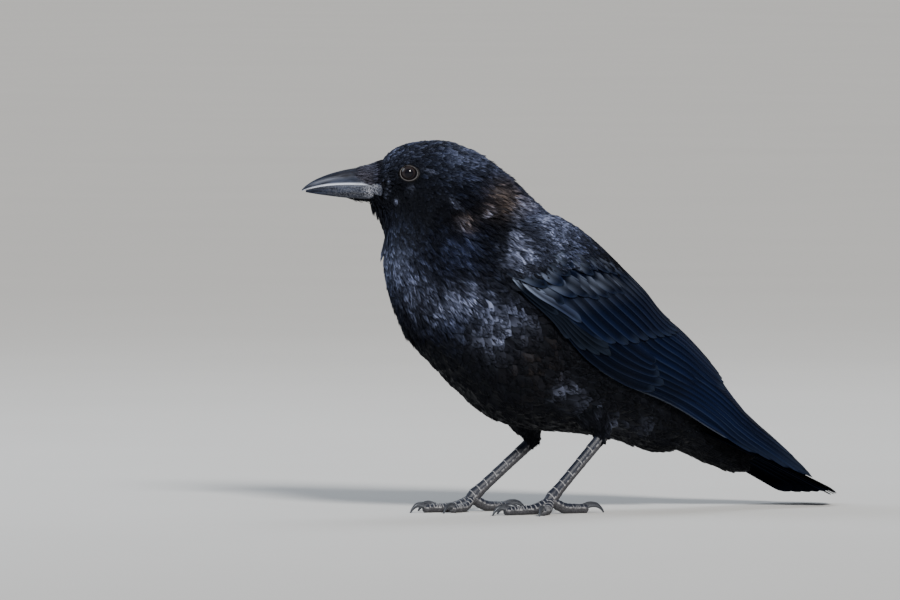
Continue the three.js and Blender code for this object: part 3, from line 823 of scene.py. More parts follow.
# Sweeps a closed section along each path: root point, rings, tip point.
def sweep(form, side, at, angle, inner, outer, lift, thick, section, lag, camber=0.0, wrap=False, tilt=0.0):
    x, rise = (np.array(v, float) for v in zip(*section))
    column = side[:, None]
    middle = form.point(at, angle, column, lift)
    ahead = unit(np.gradient(middle, axis=1))[:, 1:-1]
    a, g, l = at[:, 1:-1], angle[:, 1:-1], lift[:, 1:-1]
    along, around = measures(form, a, g, column)
    outward = form.point(a, g, column, l + 1) - form.point(a, g, column, l - 1)
    across = unit(around - ahead * dot(around, ahead))
    normal = np.cross(across, ahead)
    normal = unit(normal * np.sign(dot(normal, outward)))
    half = np.where(x < 0, inner[..., None], outer[..., None])
    high = rise * thick[..., None]
    if wrap:
        reach = np.linalg.norm(around, axis=-1)[..., None]
        size = np.linalg.norm(along, axis=-1)[..., None]
        spread = g[..., None] + x * half / reach
        back = a[..., None] - lag * np.abs(x) ** webCurve * half / size
        sink = np.where(x < 0, tilt * x, webSink * x)
        rings = form.point(back, spread, side[:, None, None], l[..., None] + high + sink)
    else:
        shape = (x * half)[..., None] * across[:, :, None]
        shape = shape + (high - camber * x * x * half)[..., None] * normal[:, :, None]
        back = (lag * np.abs(x) ** webCurve * half)[..., None] * ahead[:, :, None]
        rings = middle[:, 1:-1, None] + shape - back
    count, rows, columns = rings.shape[:3]
    return np.concatenate([middle[:, :1], rings.reshape(count, rows * columns, 3), middle[:, -1:]], 1)


# Faces of swept feathers, all of one shape and turned over on the bird's right.
def sweepFaces(count, rows, columns, side):
    ring = np.arange(columns)
    following = (ring + 1) % columns
    last, tail = rows * columns + 1, 1 + (rows - 1) * columns
    quads = np.concatenate([
        np.stack([a + ring, a + following, a + columns + following, a + columns + ring], 1)
        for a in range(1, tail, columns)
    ])
    root = np.stack([0 * ring, 1 + following, 1 + ring], 1)
    tip = np.stack([last + 0 * ring, tail + ring, tail + following], 1)
    offsets = np.arange(count)[:, None, None] * (last + 1)

    def spreadOut(template):
        many = template[None] + offsets
        return np.where((side > 0)[:, None, None], many[:, :, ::-1], many).reshape(-1, template.shape[1])

    return [spreadOut(quads), spreadOut(np.concatenate([root, tip]))]


# The map of a swept vane, u across and v along, and which points lie on its two edges.
def vaneMap(section, stops):
    x = np.array([across for across, _ in section])
    rows = len(stops) - 2
    u = np.concatenate([[0.5], np.tile((x + 1) / 2, rows), [0.5]])
    v = np.concatenate([[0], np.repeat(stops[1:-1], len(x)), [1]])
    edge = np.concatenate([[0], np.tile(np.where(x == -1, 1, np.where(x == 1, 2, 0)), rows), [0]])
    return u, v, edge


bakePatch = 0.003  # each small feather's own patch in the map that colours are baked through


def bakePlace(roots):
    lowest, highest = roots["at"].min() - 0.1, roots["at"].max() + 0.1
    across = (roots["at"] - lowest) / (highest - lowest)
    up = 0.5 + roots["side"] * np.clip(roots["angle"], -20, 180) / 380
    return 0.01 + 0.98 * np.stack([across, up], -1)


# One layer of small feathers or strands, as a part.
def layer(form, roots, look, paths=None):
    stops = np.array([0, *look["stops"], 1])
    at, angle = walk(form, roots, stops) if paths is None else paths
    count, rows = len(at), len(look["stops"])
    rise = stops**look["sweepUp"]
    lift = roots["low"][:, None] * (1 - rise) + roots["high"][:, None] * rise
    if "cover" in roots:
        lift = lift + roots["cover"](at, angle)
    half = roots["half"][:, None]
    web = half * np.array(look["widths"])
    thick = np.minimum(look["thick"], half * 0.6) * np.ones(rows)
    points = sweep(
        form, roots["side"], at, angle, web, web, lift, thick, vaneSection, look["lag"], look["camber"]
    )
    u, v, edge = vaneMap(vaneSection, stops)
    vane = np.broadcast_to(np.stack([u, v], -1), (count, len(u), 2))
    bake = bakePlace(roots)[:, None] + (vane - 0.5) * bakePatch
    vane = vane + np.array([look.get("offVane", 0), 0])
    seen = markings(form.point(at[:, -2], angle[:, -2], roots["side"], 0)) + roots.get("paint", 0)
    tone = (seen * roots["tone"][:, None])[:, None] * np.ones((1, len(u), 1))
    return {
        "points": points, "faces": sweepFaces(count, rows, len(vaneSection), roots["side"]),
        "maps": {"vane": vane, "OFBake": bake}, "tone": np.clip(tone, 0, 1),
        "edge": np.broadcast_to(edge * look["sharp"], (count, len(u))),
    }


# Vanes, rounded at the tip, and the fine strands that fan out from their shafts.
vaneSection = ((-1, 0), (0, 1), (1, 0))  # across and up, in half widths and thicknesses
vaneLook = {
    "stops": (0.2, 0.55, 0.82, 0.95), "widths": (0.55, 1.0, 0.92, 0.55), "thick": 0.28, "camber": 0.12,
    "lag": 0.45, "sweepUp": 0.8, "sharp": True,
}
pointedLook = {**vaneLook, "stops": (0.2, 0.55, 0.85), "widths": (0.7, 1.0, 0.45), "lag": 0.2}
strandLook = {
    "stops": (0.3, 0.75), "widths": (1.0, 0.75), "thick": 0.3, "camber": 0.0, "lag": 0.0, "sweepUp": 1.0,
    "sharp": False, "offVane": 2,
}


# Strands leave the shaft of each feather, with roots of their own along it.
strandVariety = {
    "lean": 0.12, "length": (0.82, 1.12), "half": (0.75, 1.25), "leastTone": 0.5, "toneSpread": 1.1,
    "longest": 1.06, "shorter": 0.22,  # those that lean out are shorter
    "first": 0.02, "last": 0.9, "overRoot": 0.12, "overTip": 0.1,
}


def strandsOf(roots, stops, paths, fan):
    at, angle = paths
    look, count = strandVariety, fan["count"]
    pick = np.repeat(np.arange(len(at)), count)
    lean = np.tile(np.linspace(-1, 1, count), len(at)) + chance.normal(size=len(pick)) * look["lean"]
    start = fan["start"] + fan["startSpread"] * chance.random(len(pick))
    start = np.clip(start, look["first"], look["last"])
    place = np.interp(start, stops, np.arange(len(stops)))
    low = np.minimum(place.astype(int), len(stops) - 2)
    share = place - low

    def onShaft(table):
        return table[pick, low] * (1 - share) + table[pick, low + 1] * share

    longest = roots["length"][pick] * (1 - start) * (look["longest"] - look["shorter"] * lean**2)
    rise = roots["low"][pick] + (roots["high"] - roots["low"])[pick] * start ** vaneLook["sweepUp"]
    curl = roots["curl"][pick] - lean * fan["spread"] * 0.5
    made = {
        "at": onShaft(at), "angle": onShaft(angle), "side": roots["side"][pick],
        "length": longest * chance.uniform(*look["length"], len(pick)),
        "half": fan["half"] * chance.uniform(*look["half"], len(pick)),
        "way": roots["way"][pick] + lean * fan["spread"], "curl": curl,
        "low": rise + look["overRoot"],
        "high": roots["high"][pick] + fan["loose"] * chance.random(len(pick)) ** 2 + look["overTip"],
    }
    tone = look["leastTone"] + look["toneSpread"] * chance.random(len(pick)) ** 1.5
    made["tone"] = roots["tone"][pick] * tone
    if "cover" in roots:
        made["cover"] = roots["cover"]
    return made


def pickRows(roots, chosen):
    count = len(roots["at"])
    return {
        key: value[chosen] if isinstance(value, np.ndarray) and len(value) == count else value
        for key, value in roots.items()
    }


mostTriangles = 170000  # in one piece of the coat


# Grows feathers on their roots, and the strands of their fans, in as many pieces as they need.
def coat(name, form, roots, look, fan=None):
    order = np.argsort(roots["at"], kind="stable")
    each = 3 + len(look["stops"]) * 6 + (fan["count"] * 12 if fan else 0)
    pieces = max(1, math.ceil(len(order) * each / mostTriangles))
    stops = np.array([0, *look["stops"], 1])
    for number, chosen in enumerate(np.array_split(order, pieces)):
        some = pickRows(roots, chosen)
        paths = walk(form, some, stops)
        parts = [layer(form, some, look, paths)]
        if fan:
            parts.append(layer(form, strandsOf(some, stops, paths, fan), strandLook))
        joinParts(name if pieces == 1 else f"{name}_{number + 1}", parts, plumage)


# How unlike its neighbours a feather is. Its tone scales its markings, so that the painted sheen and glints
# fall on only some feathers.
variety = {"length": (0.82, 1.15), "half": (0.85, 1.15), "curl": 5, "leastTone": 0.32, "toneSpread": 2.1}


# Gives every root its size and lie. What has several values is read along the stations, and a pair
# of tables "Round" is read round the form.
def shaped(roots, sizes):
    count = len(roots["at"])
    made = dict(roots)
    for key in ("length", "half", "low", "high"):
        made[key] = np.interp(roots["at"], sizes["stations"], sizes[key])
    for key in ("length", "half"):
        made[key] = made[key] * chance.uniform(*variety[key], count)
    made["high"] = made["high"] + sizes["ruffle"] * chance.random(count) ** 3
    made["way"] = sizes.get("way", 0) + chance.normal(size=count) * sizes["stray"]
    made["curl"] = chance.normal(size=count) * variety["curl"]
    made["tone"] = variety["leastTone"] + variety["toneSpread"] * chance.random(count) ** 3
    if "lengthRound" in sizes:
        made["length"] = made["length"] * np.interp(made["angle"], *sizes["lengthRound"])
    if "wayRound" in sizes:
        made["way"] = made["way"] + np.interp(made["angle"], *sizes["wayRound"])
    for key in ("cover", "paint"):
        if key in sizes:
            made[key] = sizes[key]
    return made


def rootsOn(form, sizes):
    return shaped(bothSides(form, sizes), sizes)


def besideHead(side, out):
    return turned(eye["along"], side * out, eye["height"], headTurn)


eyeSpot = {name: besideHead(side, eye["side"]) for name, side in sides.items()}


eyeGuard = {"tries": 5, "near": 1.02, "cut": 0.72, "shortest": 1.2}


# Shortens feathers that would lie over an eye, and drops those that root under it.
def clearOfEyes(form, roots, reach):
    ahead = turned(1.0, 0, 0, headTurn)
    kept = np.ones(len(roots["at"]), bool)
    length = roots["length"]
    for attempt in range(eyeGuard["tries"]):
        at, angle = walk(form, {**roots, "length": length}, np.array([0, 0.5, 1.0]))
        for name, side in sides.items():
            away = form.point(at, angle, roots["side"][:, None], 0) - eyeSpot[name]
            level = (away @ ahead) / (reach * eye["wide"])
            oval = np.hypot(level, away[..., 2] / (reach * eye["tall"]))
            onSide = roots["side"] == side
            kept &= ~(onSide & (oval[:, 0] <= 1))
            covers = onSide & (oval[:, 1:] < eyeGuard["near"]).any(1)
            length = np.where(covers, length * eyeGuard["cut"], length)
    return pickRows({**roots, "length": length}, kept & (length > eyeGuard["shortest"]))


# How far the skin sinks round the eyes and above the tuft of the throat.
eyeHollow = {"side": 17.5, "depth": 1.3, "spread": 90}
throat = {"at": 2.15, "depth": 3.0, "reach": 5.5}


def hollows(points):
    middles = [besideHead(side, eyeHollow["side"]) for side in sides.values()]
    eyes = sum(
        eyeHollow["depth"] * np.exp(-((points - spot) ** 2).sum(-1) / eyeHollow["spread"]) for spot in middles
    )
    away = ((points - body.point(throat["at"], 180, 1, 0)) ** 2).sum(-1)
    return eyes + throat["depth"] * np.exp(-away / throat["reach"] ** 2)


# Skin: one closed surface inside the coat, over head, neck, trunk and both thighs.
skin = {
    "stations": (0, 2, 4, 6, 9, 14, 17), "depth": (1.5, 1.5, 2, 3, 4, 3.5, 2.5),
    "rings": 170, "around": 120, "voxel": 0.0014, "thighDepth": 2.2, "thighRings": 40, "thighAround": 48,
}
legs = {
    "left": {
        "thigh": (46, -23, 72), "heel": (60, -25, 51), "foot": (18, -28, 9.5), "heading": 4,
        "turns": {"middle": 0, "inner": -27, "outer": 44, "hind": 176},
    },
    "right": {
        "thigh": (22, 22, 70), "heel": (36, 24, 46.5), "foot": (-9, 27, 9.5), "heading": -2,
        "turns": {"middle": 0, "inner": 30, "outer": -36, "hind": 182},
    },
}
# The length and radius of each toe, and how far its claw reaches.
toeSizes = {"middle": (34, 3.2, 11.5), "inner": (24, 3, 11), "outer": (26, 2.9, 9.5), "hind": (26, 3.4, 14)}


def between(a, b, share):
    return np.array(a) + (np.array(b, float) - np.array(a)) * share


def thighLimb(leg, less=0.0):
    thigh, heel = leg["thigh"], leg["heel"]
    joints = [(thigh, 15), (between(thigh, heel, 0.45), 10.5), (between(thigh, heel, 0.8), 7),
              (np.array(heel) + [-1.5, 0, -1.5], 4.6)]
    return Limb([(point, radius - less) for point, radius in joints], 0.85)


# A closed tube on a form, as a part, with the lift and the tone that `relief` gives at each place.
def tube(form, ats, columns, relief):
    a, g = np.meshgrid(ats, np.arange(columns) * 360 / columns, indexing="ij")
    lift, tone = relief(a, g)
    rows = len(ats)
    row, column = np.meshgrid(np.arange(rows - 1), np.arange(columns), indexing="ij")
    corners = [np.stack([column + dj, row + di], -1) for di, dj in ((0, 0), (1, 0), (1, 1), (0, 1))]
    maps = [np.stack(corners, 2).reshape(-1, 2) / [columns, rows - 1]]
    column = np.arange(columns)
    for end, first, second in ((0.0, 0, 1), (1.0, 1, 0)):
        rim = np.full(columns, end)
        corners = [(column + 0.5, np.abs(rim - 0.01)), (column + first, rim), (column + second, rim)]
        maps.append(np.stack([np.stack([u / columns, v], 1) for u, v in corners], 1).reshape(-1, 2))
    return {
        "points": withEnds(form.point(a, g, 1, lift)), "faces": ringFaces(rows, columns),
        "maps": {"hide": np.concatenate(maps)}, "tone": withEnds(tone),
    }


def plain(a, g):
    return np.zeros_like(a), np.zeros(a.shape + (3,))


class Round(Form):  # a form read all the way round, 0 to 360, down the left side first
    def point(self, at, angle, side, lift):
        folded = np.where(angle <= 180, angle, 360 - angle)
        return super().point(at, folded, np.where(angle <= 180, left, right), lift)


def skinPiece():
    form = Round(bodyStations)

    def relief(a, g):
        lift, tone = plain(a, g)
        return lift - np.interp(a, skin["stations"], skin["depth"]) - hollows(form.point(a, g, 1, 0)), tone

    shell = tube(form, np.linspace(0, 17, skin["rings"]), skin["around"], relief)
    shell["faces"] = flipped(shell["faces"])
    parts = [shell]
    for leg in legs.values():
        limb = thighLimb(leg, skin["thighDepth"])
        parts.append(tube(limb, np.linspace(0, limb.length, skin["thighRings"]), skin["thighAround"], plain))
    rough = joinParts("skinRough", parts, skinDown)
    remesh = rough.modifiers.new("joined", "REMESH")
    remesh.mode, remesh.voxel_size, remesh.use_smooth_shade = "VOXEL", skin["voxel"], True
    smooth = rough.modifiers.new("smoothed", "SMOOTH")
    smooth.factor, smooth.iterations = 0.5, 4
    mesh = bpy.data.meshes.new_from_object(rough.evaluated_get(bpy.context.evaluated_depsgraph_get()))
    bpy.data.objects.remove(rough)
    points = np.empty(len(mesh.vertices) * 3)
    mesh.vertices.foreach_get("co", points)
    paintTone(mesh, markings(points.reshape(-1, 3) * 1000 - shift))
    mesh.name = "skin"
    mesh.materials.clear()
    piece = placePiece("skin", mesh, skinDown)
    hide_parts("head", "neck", "trunk", "thigh_left", "thigh_right")


skinPiece()
print("skin made")

# The coat, from the bill back. A coat has its span of stations and arc of degrees, from the back (0)
# to the belly (180); then what is read along its stations; then the fan of strands on each feather.
headCoat = {
    "span": (0.05, 4.5), "arc": (0, 180),
    "stations": (0, 1, 2, 3, 4.6), "gap": (1.5, 1.5, 1.6, 1.9, 2.3), "length": (4, 5, 6, 8, 12),
    "half": (0.8, 0.9, 1.0, 1.3, 1.9), "low": (-1.1, -1.2, -1.3, -1.4, -1.8),
    "high": (0, 0.05, 0.1, 0.2, 0.3), "ruffle": 0.5, "stray": 9,
    "fan": {"count": 3, "start": 0.15, "startSpread": 0.4, "half": 0.28, "spread": 13, "loose": 0.35},
    "sinkLow": 0.75, "sinkHigh": 0.7,  # how far roots and tips follow the hollows of the skin
    "bareTo": 0.85, "bareAngle": 111, "bareHalf": 17,  # the gape has no feathers
    "clear": 5.9,  # millimetres kept free round the middle of an eye
}
neckCoat = {
    "span": (4.2, 6.7), "arc": (0, 180), "across": 0.85, "cover": wingCover,
    "stations": (4.4, 5.5, 6.8), "gap": (2.4, 2.7, 3.0), "length": (12, 15, 17), "half": (1.7, 2.0, 2.6),
    "low": (-1.9, -2.4, -2.8), "high": (0.3, 0.4, 0.4), "ruffle": 1.2, "stray": 8,
    "fan": {"count": 6, "start": 0.15, "startSpread": 0.5, "half": 0.32, "spread": 13, "loose": 0.9},
    # The feathers of the collar stand up between these stations and angles.
    "collarFront": (5.0, 5.5), "collarBack": (-6.3, -5.9),
    "collarBelow": (-105, -80), "collarAbove": (10, 45),
    "collarLeast": 0.3, "collarHigh": 0.9, "collarRuffle": 1.2,
}
trunkCoat = {
    "span": (6.7, 15.6), "arc": (40, 180), "across": 0.85,
    "stations": (6.6, 8, 10, 12, 14, 16), "gap": (3.6, 5.4, 6.0, 5.6, 4.6, 4.0),
    "length": (18, 20, 22, 21, 18, 16), "half": (3.2, 4.9, 5.4, 5.0, 4.2, 3.4),
    "low": (-2.8, -3, -3, -3, -2.6, -2), "high": (0.3, 0.4, 0.4, 0.4, 0.3, 0.2), "ruffle": 0.7, "stray": 7,
    "fan": {"count": 7, "start": 0.55, "startSpread": 0.28, "half": 0.36, "spread": 26, "loose": 0.4},
    "breastTo": 7.4,  # the breast laps over the shoulder of the wing
    "wingFrom": 7.7, "wingTo": 15, "wingMargin": 12,  # no feathers under the middle of the wing
    "highFrom": 7.6, "highMargin": 14,
}
mantleCoat = {
    "span": (6.5, 12.6), "arc": (0, 48), "across": 0.9, "cover": wingCover,
    "stations": (6.2, 8, 10, 12.5), "gap": (2.8, 3.4, 4.6, 5.2), "length": (17, 20, 24, 26),
    "half": (2.2, 3.2, 5, 5.4), "low": (-2, -1.5, -1.2, -1), "high": (0.6, 0.9, 1.0, 1.0),
    "ruffle": 0.4, "stray": 6, "wayRound": ((0, 20, 48), (0, 2, -5)),
    "fan": {"count": 6, "start": 0.25, "startSpread": 0.5, "half": 0.36, "spread": 18, "loose": 0.3},
    "lowest": ((6.5, 7.5, 8.5, 10, 12.6), (48, 44, 34, 20, 8)),
}
# The rump, between and under the folded wings, and the coverts that run on from it.
rumpCoat = {
    "span": (11, 15.6), "arc": (0, 75),
    "stations": (10, 13, 16), "gap": (6, 5.4, 4.6), "length": (24, 24, 22), "half": (5, 5, 4.4),
    "low": (-2.5, -2.5, -2), "high": (0, 0.2, 0.3), "ruffle": 0.3, "stray": 6,
    "fan": {"count": 6, "start": 0.4, "startSpread": 0.35, "half": 0.4, "spread": 28, "loose": 0.4},
}
upperCovertCoat = {
    **rumpCoat, "span": (13.6, 16.9), "arc": (0, 66), "stations": (13, 17), "gap": (4.6, 4.2),
    "length": (32, 30), "half": (4.6, 4.2), "low": (-3, -2), "high": (0.2, -0.4), "ending": 17.9,
}
thighCoat = {
    "arc": (0, 360), "from": 0.5, "short": 3,  # millimetres left bare at either end
    "stations": (0, 12, 24), "gap": (3.2, 3.0, 2.6), "length": (15, 13, 8), "half": (2.6, 2.2, 1.5),
    "low": (-2.2, -2, -1.6), "high": (0.4, 0.4, 0.2), "ruffle": 0.8, "stray": 8,
    "fan": {"count": 6, "start": 0.2, "startSpread": 0.5, "half": 0.36, "spread": 20, "loose": 0.8},
}
stationLength = 16  # millimetres from one station to the next over the rump and tail


def growHead():
    roots = rootsOn(body, headCoat)
    dent = hollows(body.point(roots["at"], roots["angle"], roots["side"], 0))
    roots["low"] = roots["low"] - headCoat["sinkLow"] * dent
    roots["high"] = roots["high"] - headCoat["sinkHigh"] * dent
    covered = np.abs(roots["angle"] - headCoat["bareAngle"]) > headCoat["bareHalf"]
    roots = pickRows(roots, (roots["at"] > headCoat["bareTo"]) | covered)
    coat("coat_head", body, clearOfEyes(body, roots, headCoat["clear"]), vaneLook, headCoat["fan"])


def growNeck():
    roots = rootsOn(body, neckCoat)
    at, angle = roots["at"], roots["angle"]
    collar = smoothStep(at, *neckCoat["collarFront"]) * smoothStep(-at, *neckCoat["collarBack"])
    collar = collar * smoothStep(-angle, *neckCoat["collarBelow"])
    collar = collar * (neckCoat["collarLeast"] + smoothStep(angle, *neckCoat["collarAbove"]))
    stand = neckCoat["collarHigh"] + neckCoat["collarRuffle"] * chance.random(len(at))
    roots["high"] = roots["high"] + collar * stand
    coat("coat_neck", body, roots, pointedLook, neckCoat["fan"])


# Which roots lie under the wing, or where the wing and the mantle leave no room for them.
def underWing(roots):
    at, angle = roots["at"], roots["angle"]
    edge = wingEdge(at) + np.where(roots["side"] == right, wing["droop"] * smoothStep(17 - at, 0, 6), 0)
    margin = trunkCoat["wingMargin"]
    under = (at > trunkCoat["wingFrom"]) & (at < trunkCoat["wingTo"])
    under &= (angle > wingTop(at) + margin) & (angle < edge - margin)
    return under | ((at > trunkCoat["highFrom"]) & (angle < wingEdge(at) - trunkCoat["highMargin"]))


def growTrunk():
    roots = bothSides(body, trunkCoat)
    roots = shaped(pickRows(roots, ~underWing(roots)), trunkCoat)
    onBreast = roots["at"] < trunkCoat["breastTo"]
    breast = {**pickRows(roots, onBreast), "cover": wingCover}
    coat("coat_breast_side", body, breast, vaneLook, trunkCoat["fan"])
    coat("coat_trunk", body, pickRows(roots, ~onBreast), vaneLook, trunkCoat["fan"])


def growMantle():
    roots = bothSides(body, mantleCoat)
    above = roots["angle"] < np.interp(roots["at"], *mantleCoat["lowest"])
    roots = shaped(pickRows(roots, above), mantleCoat)
    coat("coat_mantle", body, roots, vaneLook, mantleCoat["fan"])


def growRump():
    coat("coat_rump", body, rootsOn(body, rumpCoat), vaneLook, rumpCoat["fan"])
    roots = rootsOn(wingForm, upperCovertCoat)
    room = (upperCovertCoat["ending"] - roots["at"]) * stationLength
    roots["length"] = np.minimum(roots["length"], room)
    coat("coat_tail_coverts_upper", wingForm, roots, vaneLook, upperCovertCoat["fan"])


def growThighs():
    for name, leg in legs.items():
        limb = thighLimb(leg)
        sizes = {**thighCoat, "span": (thighCoat["from"], limb.length - thighCoat["short"])}
        coat("coat_thigh_" + name, limb, shaped(plant(limb, 1, sizes), sizes), vaneLook, sizes["fan"])


growHead()
growNeck()
growTrunk()
growMantle()
growRump()
growThighs()
print("coat grown")

# Small wing coverts in rows over the shoulder of the wing.
covertCoat = {
    "span": (6.85, 9.9), "arc": (14, 92), "jitter": 0.15, "cover": wingCover,
    "stations": (6.8, 8, 9.6), "gap": (2.5, 3.0, 3.6), "length": (10, 12, 14), "half": (1.5, 1.9, 2.6),
    "low": (-1.6, -1.6, -1.4), "high": (0.9, 1.0, 1.0), "ruffle": 0.35, "stray": 6,
    "fan": {"count": 4, "start": 0.35, "startSpread": 0.4, "half": 0.3, "spread": 14, "loose": 0.25},
    "highest": ((6.85, 8, 9.9), (42, 28, 14)),
    "lowest": ((6.85, 7.4, 8.2, 9.0, 9.9), (90, 80, 64, 46, 30)),
    "brighter": 1.15,
}


def growCoverts():
    for name, side in sides.items():
        roots = plant(wingForm, side, covertCoat)
        highest, lowest = (np.interp(roots["at"], *covertCoat[key]) for key in ("highest", "lowest"))
        roots = shaped(pickRows(roots, (roots["angle"] < lowest) & (roots["angle"] > highest)), covertCoat)
        # The small coverts carry more painted sheen and glints.
        roots["tone"] = roots["tone"] * covertCoat["brighter"]
        coat("wing_coverts_small_" + name, wingForm, roots, pointedLook, covertCoat["fan"])


# Long feathers. Each has a path of (station, angle) places, the widths of its inner and outer web,
# the lift of its root, middle and tip, where it starts to round off, and its tone, with bands of painted
# glint and painted sheen along some of them.
quillSection = (
    (-1, 0), (-0.62, 0.5), (-0.25, 0.75), (-0.07, 0.8), (0, 1.6), (0.07, 0.8), (0.45, 0.7), (1, 0),
    (0.5, -0.5), (-0.5, -0.5),
)
quillStops = np.sort(np.concatenate(
    [[0], np.linspace(0.03, 0.86, 16), 1 - 0.14 * np.cos(np.linspace(0.35, 1.5, 7)), [1]]
))
quillShape = {
    "thick": 0.42, "taper": ((0, 0.6, 1), (1.2, 1, 0.5)),
    "rootWidth": 0.45, "fullBy": 0.25, "tip": 2.2,  # a web's width at the root, where it is full, how it ends
}


def quillPiece(name, form, feathers, side, material, tilt=0.0, lag=0.5, wrap=True):
    stops, inside = quillStops, quillStops[1:-1]
    at, angle, inner, outer, lift = [], [], [], [], []
    for feather in feathers:
        path = smoothCurve(feather["path"])
        shares = np.linspace(0, 1, len(path))
        at.append(np.interp(stops, shares, path[:, 0]))
        angle.append(np.interp(stops, shares, path[:, 1]))
        first, rounding = quillShape["rootWidth"], feather["round"]
        grown = first + (1 - first) * smoothStep(inside, 0, quillShape["fullBy"])
        ending = np.clip((inside - rounding) / (1.001 - rounding), 0, 1) ** quillShape["tip"]
        ending = np.sqrt(np.clip(1 - ending, 0.001, 1))
        inner.append(feather["inner"] * grown * ending)
        outer.append(feather["outer"] * grown * ending)
        lift.append(np.interp(stops, (0, 0.5, 1), feather["lift"]))
    at, angle, inner, outer, lift = (np.array(v) for v in (at, angle, inner, outer, lift))
    count, rows = inner.shape
    sideOf = np.full(count, side)
    thick = np.ones((count, rows)) * (quillShape["thick"] * np.interp(inside, *quillShape["taper"]))
    points = sweep(
        form, sideOf, at, angle, inner, outer, lift, thick, quillSection, lag, wrap=wrap, tilt=tilt
    )
    u, v, edge = vaneMap(quillSection, stops)
    vane = np.broadcast_to(np.stack([u, v], -1), (count, len(u), 2))
    across = (np.arange(count)[:, None] + 0.06 + 0.88 * u) / count
    bake = np.stack([across, 0.01 + 0.98 * np.tile(v, (count, 1))], -1)
    painted = np.array([feather["tone"] for feather in feathers])[:, None] * np.ones((1, len(u), 1))
    # Bands of painted glint and painted sheen, where the light catches these feathers.
    for number, feather in enumerate(feathers):
        for channel, key in ((2, "glow"), (0, "shine")):
            if key in feather:
                low, high, amount = feather[key]
                painted[number, :, channel] += amount * (
                    smoothStep(v, low - 0.1, low + 0.05) * smoothStep(-v, -high, -low)
                )
    part = {
        "points": points, "faces": sweepFaces(count, rows, len(quillSection), sideOf),
        "maps": {"vane": vane, "OFBake": bake}, "tone": painted,
        "edge": np.broadcast_to(edge, (count, len(u))),
    }
    return joinParts(name, [part], material)


# A row of like feathers: each has its own tip, and its place in the row settles the rest.
def feathersTo(tips, path, **look):
    made = []
    for order, tip in enumerate(tips):
        one = {"path": path(order, *tip)}
        for key, value in look.items():
            one[key] = value(order) if callable(value) else value
        made.append(one)
    return made


# Numbers that each grow by a step from one feather of a row to the next.
def rising(first, step):
    return lambda order: tuple(a + b * order for a, b in zip(first, step))


# The angles of the primaries at the wrist, half way and near the rump, and the tips of each row.
primaryAngles = [
    (89.5, 94.5, 101.5), (87.5, 92, 99), (83, 86, 89), (79, 81.5, 83),
    (75, 77, 77), (71, 72.5, 71), (67, 68, 64), (62, 62, 57),
]
rowTips = {
    "primary": [
        (15.8, 101.5), (16.6, 99.5), (17.1, 91), (17.55, 82), (17.85, 72), (18.0, 62), (17.8, 51), (17.4, 42),
    ],
    "outer": [(12.61, 93), (12.75, 85.5), (12.5, 80), (12.35, 75.5), (12.2, 71.5)],
    "inner": [
        (14.72, 65), (14.84, 59), (14.88, 53), (14.92, 47), (14.98, 41),
        (14.85, 34.5), (14.8, 28), (14.7, 21), (14.5, 14), (14.1, 8),
    ],
    "greater": [
        (10.4, 79.5), (10.75, 76.5), (11.1, 72.5), (11.4, 67), (11.65, 61), (11.9, 55),
        (12.15, 49), (12.4, 43), (12.57, 37), (12.65, 31), (12.6, 25), (12.4, 19),
    ],
    "hand": [(9.6, 91.5), (10.15, 90), (10.55, 87.5), (10.83, 84.3), (10.65, 81.5)],
}


def primaryFeathers():
    rim = {
        "path": [(10.7, 95.4), (12.6, 98.2), (15.0, 105.8), (15.7, 104.5)], "inner": 0.35, "outer": 0.35,
        "lift": (2.2, 2.2, 1.5), "round": 0.9, "tone": (0.2, 0.9, 0.3),
    }
    return [rim] + feathersTo(
        rowTips["primary"],
        lambda order, at, angle: [*zip((8.6, 12.6, 15.0), primaryAngles[order]), (at, angle)],
        inner=10, outer=lambda order: 2.2 if order < 2 else 3.2, round=0.93,
        lift=rising((1.5, 1.8, 0.9), (0.17, 0.19, 0.22)),
        tone=lambda order: (0.4 + 0.2 * (order % 3 == 1), 0.1, 0), shine=(0.5, 0.9, 0.8),
    )


def secondaryFeathers():
    def outerPath(order, at, angle):
        return [(9.4, 90.5 - 4.6 * order), (11.0, 93 - 4.9 * order), (12.0, angle + 1.5), (at, angle)]

    def innerPath(order, at, angle):
        return [(9.2, 72 - 6.2 * order), (11.5, 70.5 - 6.2 * order), (13.6, 71 - 6.3 * order), (at, angle)]

    return feathersTo(
        rowTips["outer"], outerPath, inner=7, outer=2.4, round=0.9,
        lift=rising((2.2, 3.0, 2.8), (0.22, 0.24, 0.24)), tone=rising((0.25, 0.08, 0), (0.1, 0, 0)),
    ) + feathersTo(
        rowTips["inner"], innerPath, inner=10, outer=lambda order: 4.2 if order < 6 else 6.0, round=0.9,
        lift=rising((2.9, 3.1, 2.0), (0.24, 0.25, 0.24)), tone=lambda order: (0.5 + 0.25 * (order % 2), 0, 0),
        shine=(0.4, 0.9, 0.1),
    )


def greaterFeathers():
    def path(order, at, angle):
        first, across = 8.3 + 0.16 * order, 82 - 5.4 * order
        return [(first, across), ((first + at) / 2, (across + angle) / 2 + 0.5), (at, angle)]

    return feathersTo(
        rowTips["greater"], path, inner=8, outer=3.8, round=0.88,
        lift=rising((3.2, 4.3, 4.0), (0.2, 0.21, 0.21)),
        tone=lambda order: (0.5 + 0.2 * (order % 2), 0, 0.0), glow=(0.25, 0.5, 0.06),
    )


# Two rows of broad round coverts below the shoulder, painted lighter where they come out from under the row
# above, as the light catches them there.
# A row has the places of its first and last tip, and the width of a web.
medianRows = (((8.85, 80.5), (11.5, 22), 5.2), ((8.1, 79), (10.95, 20), 4.8))


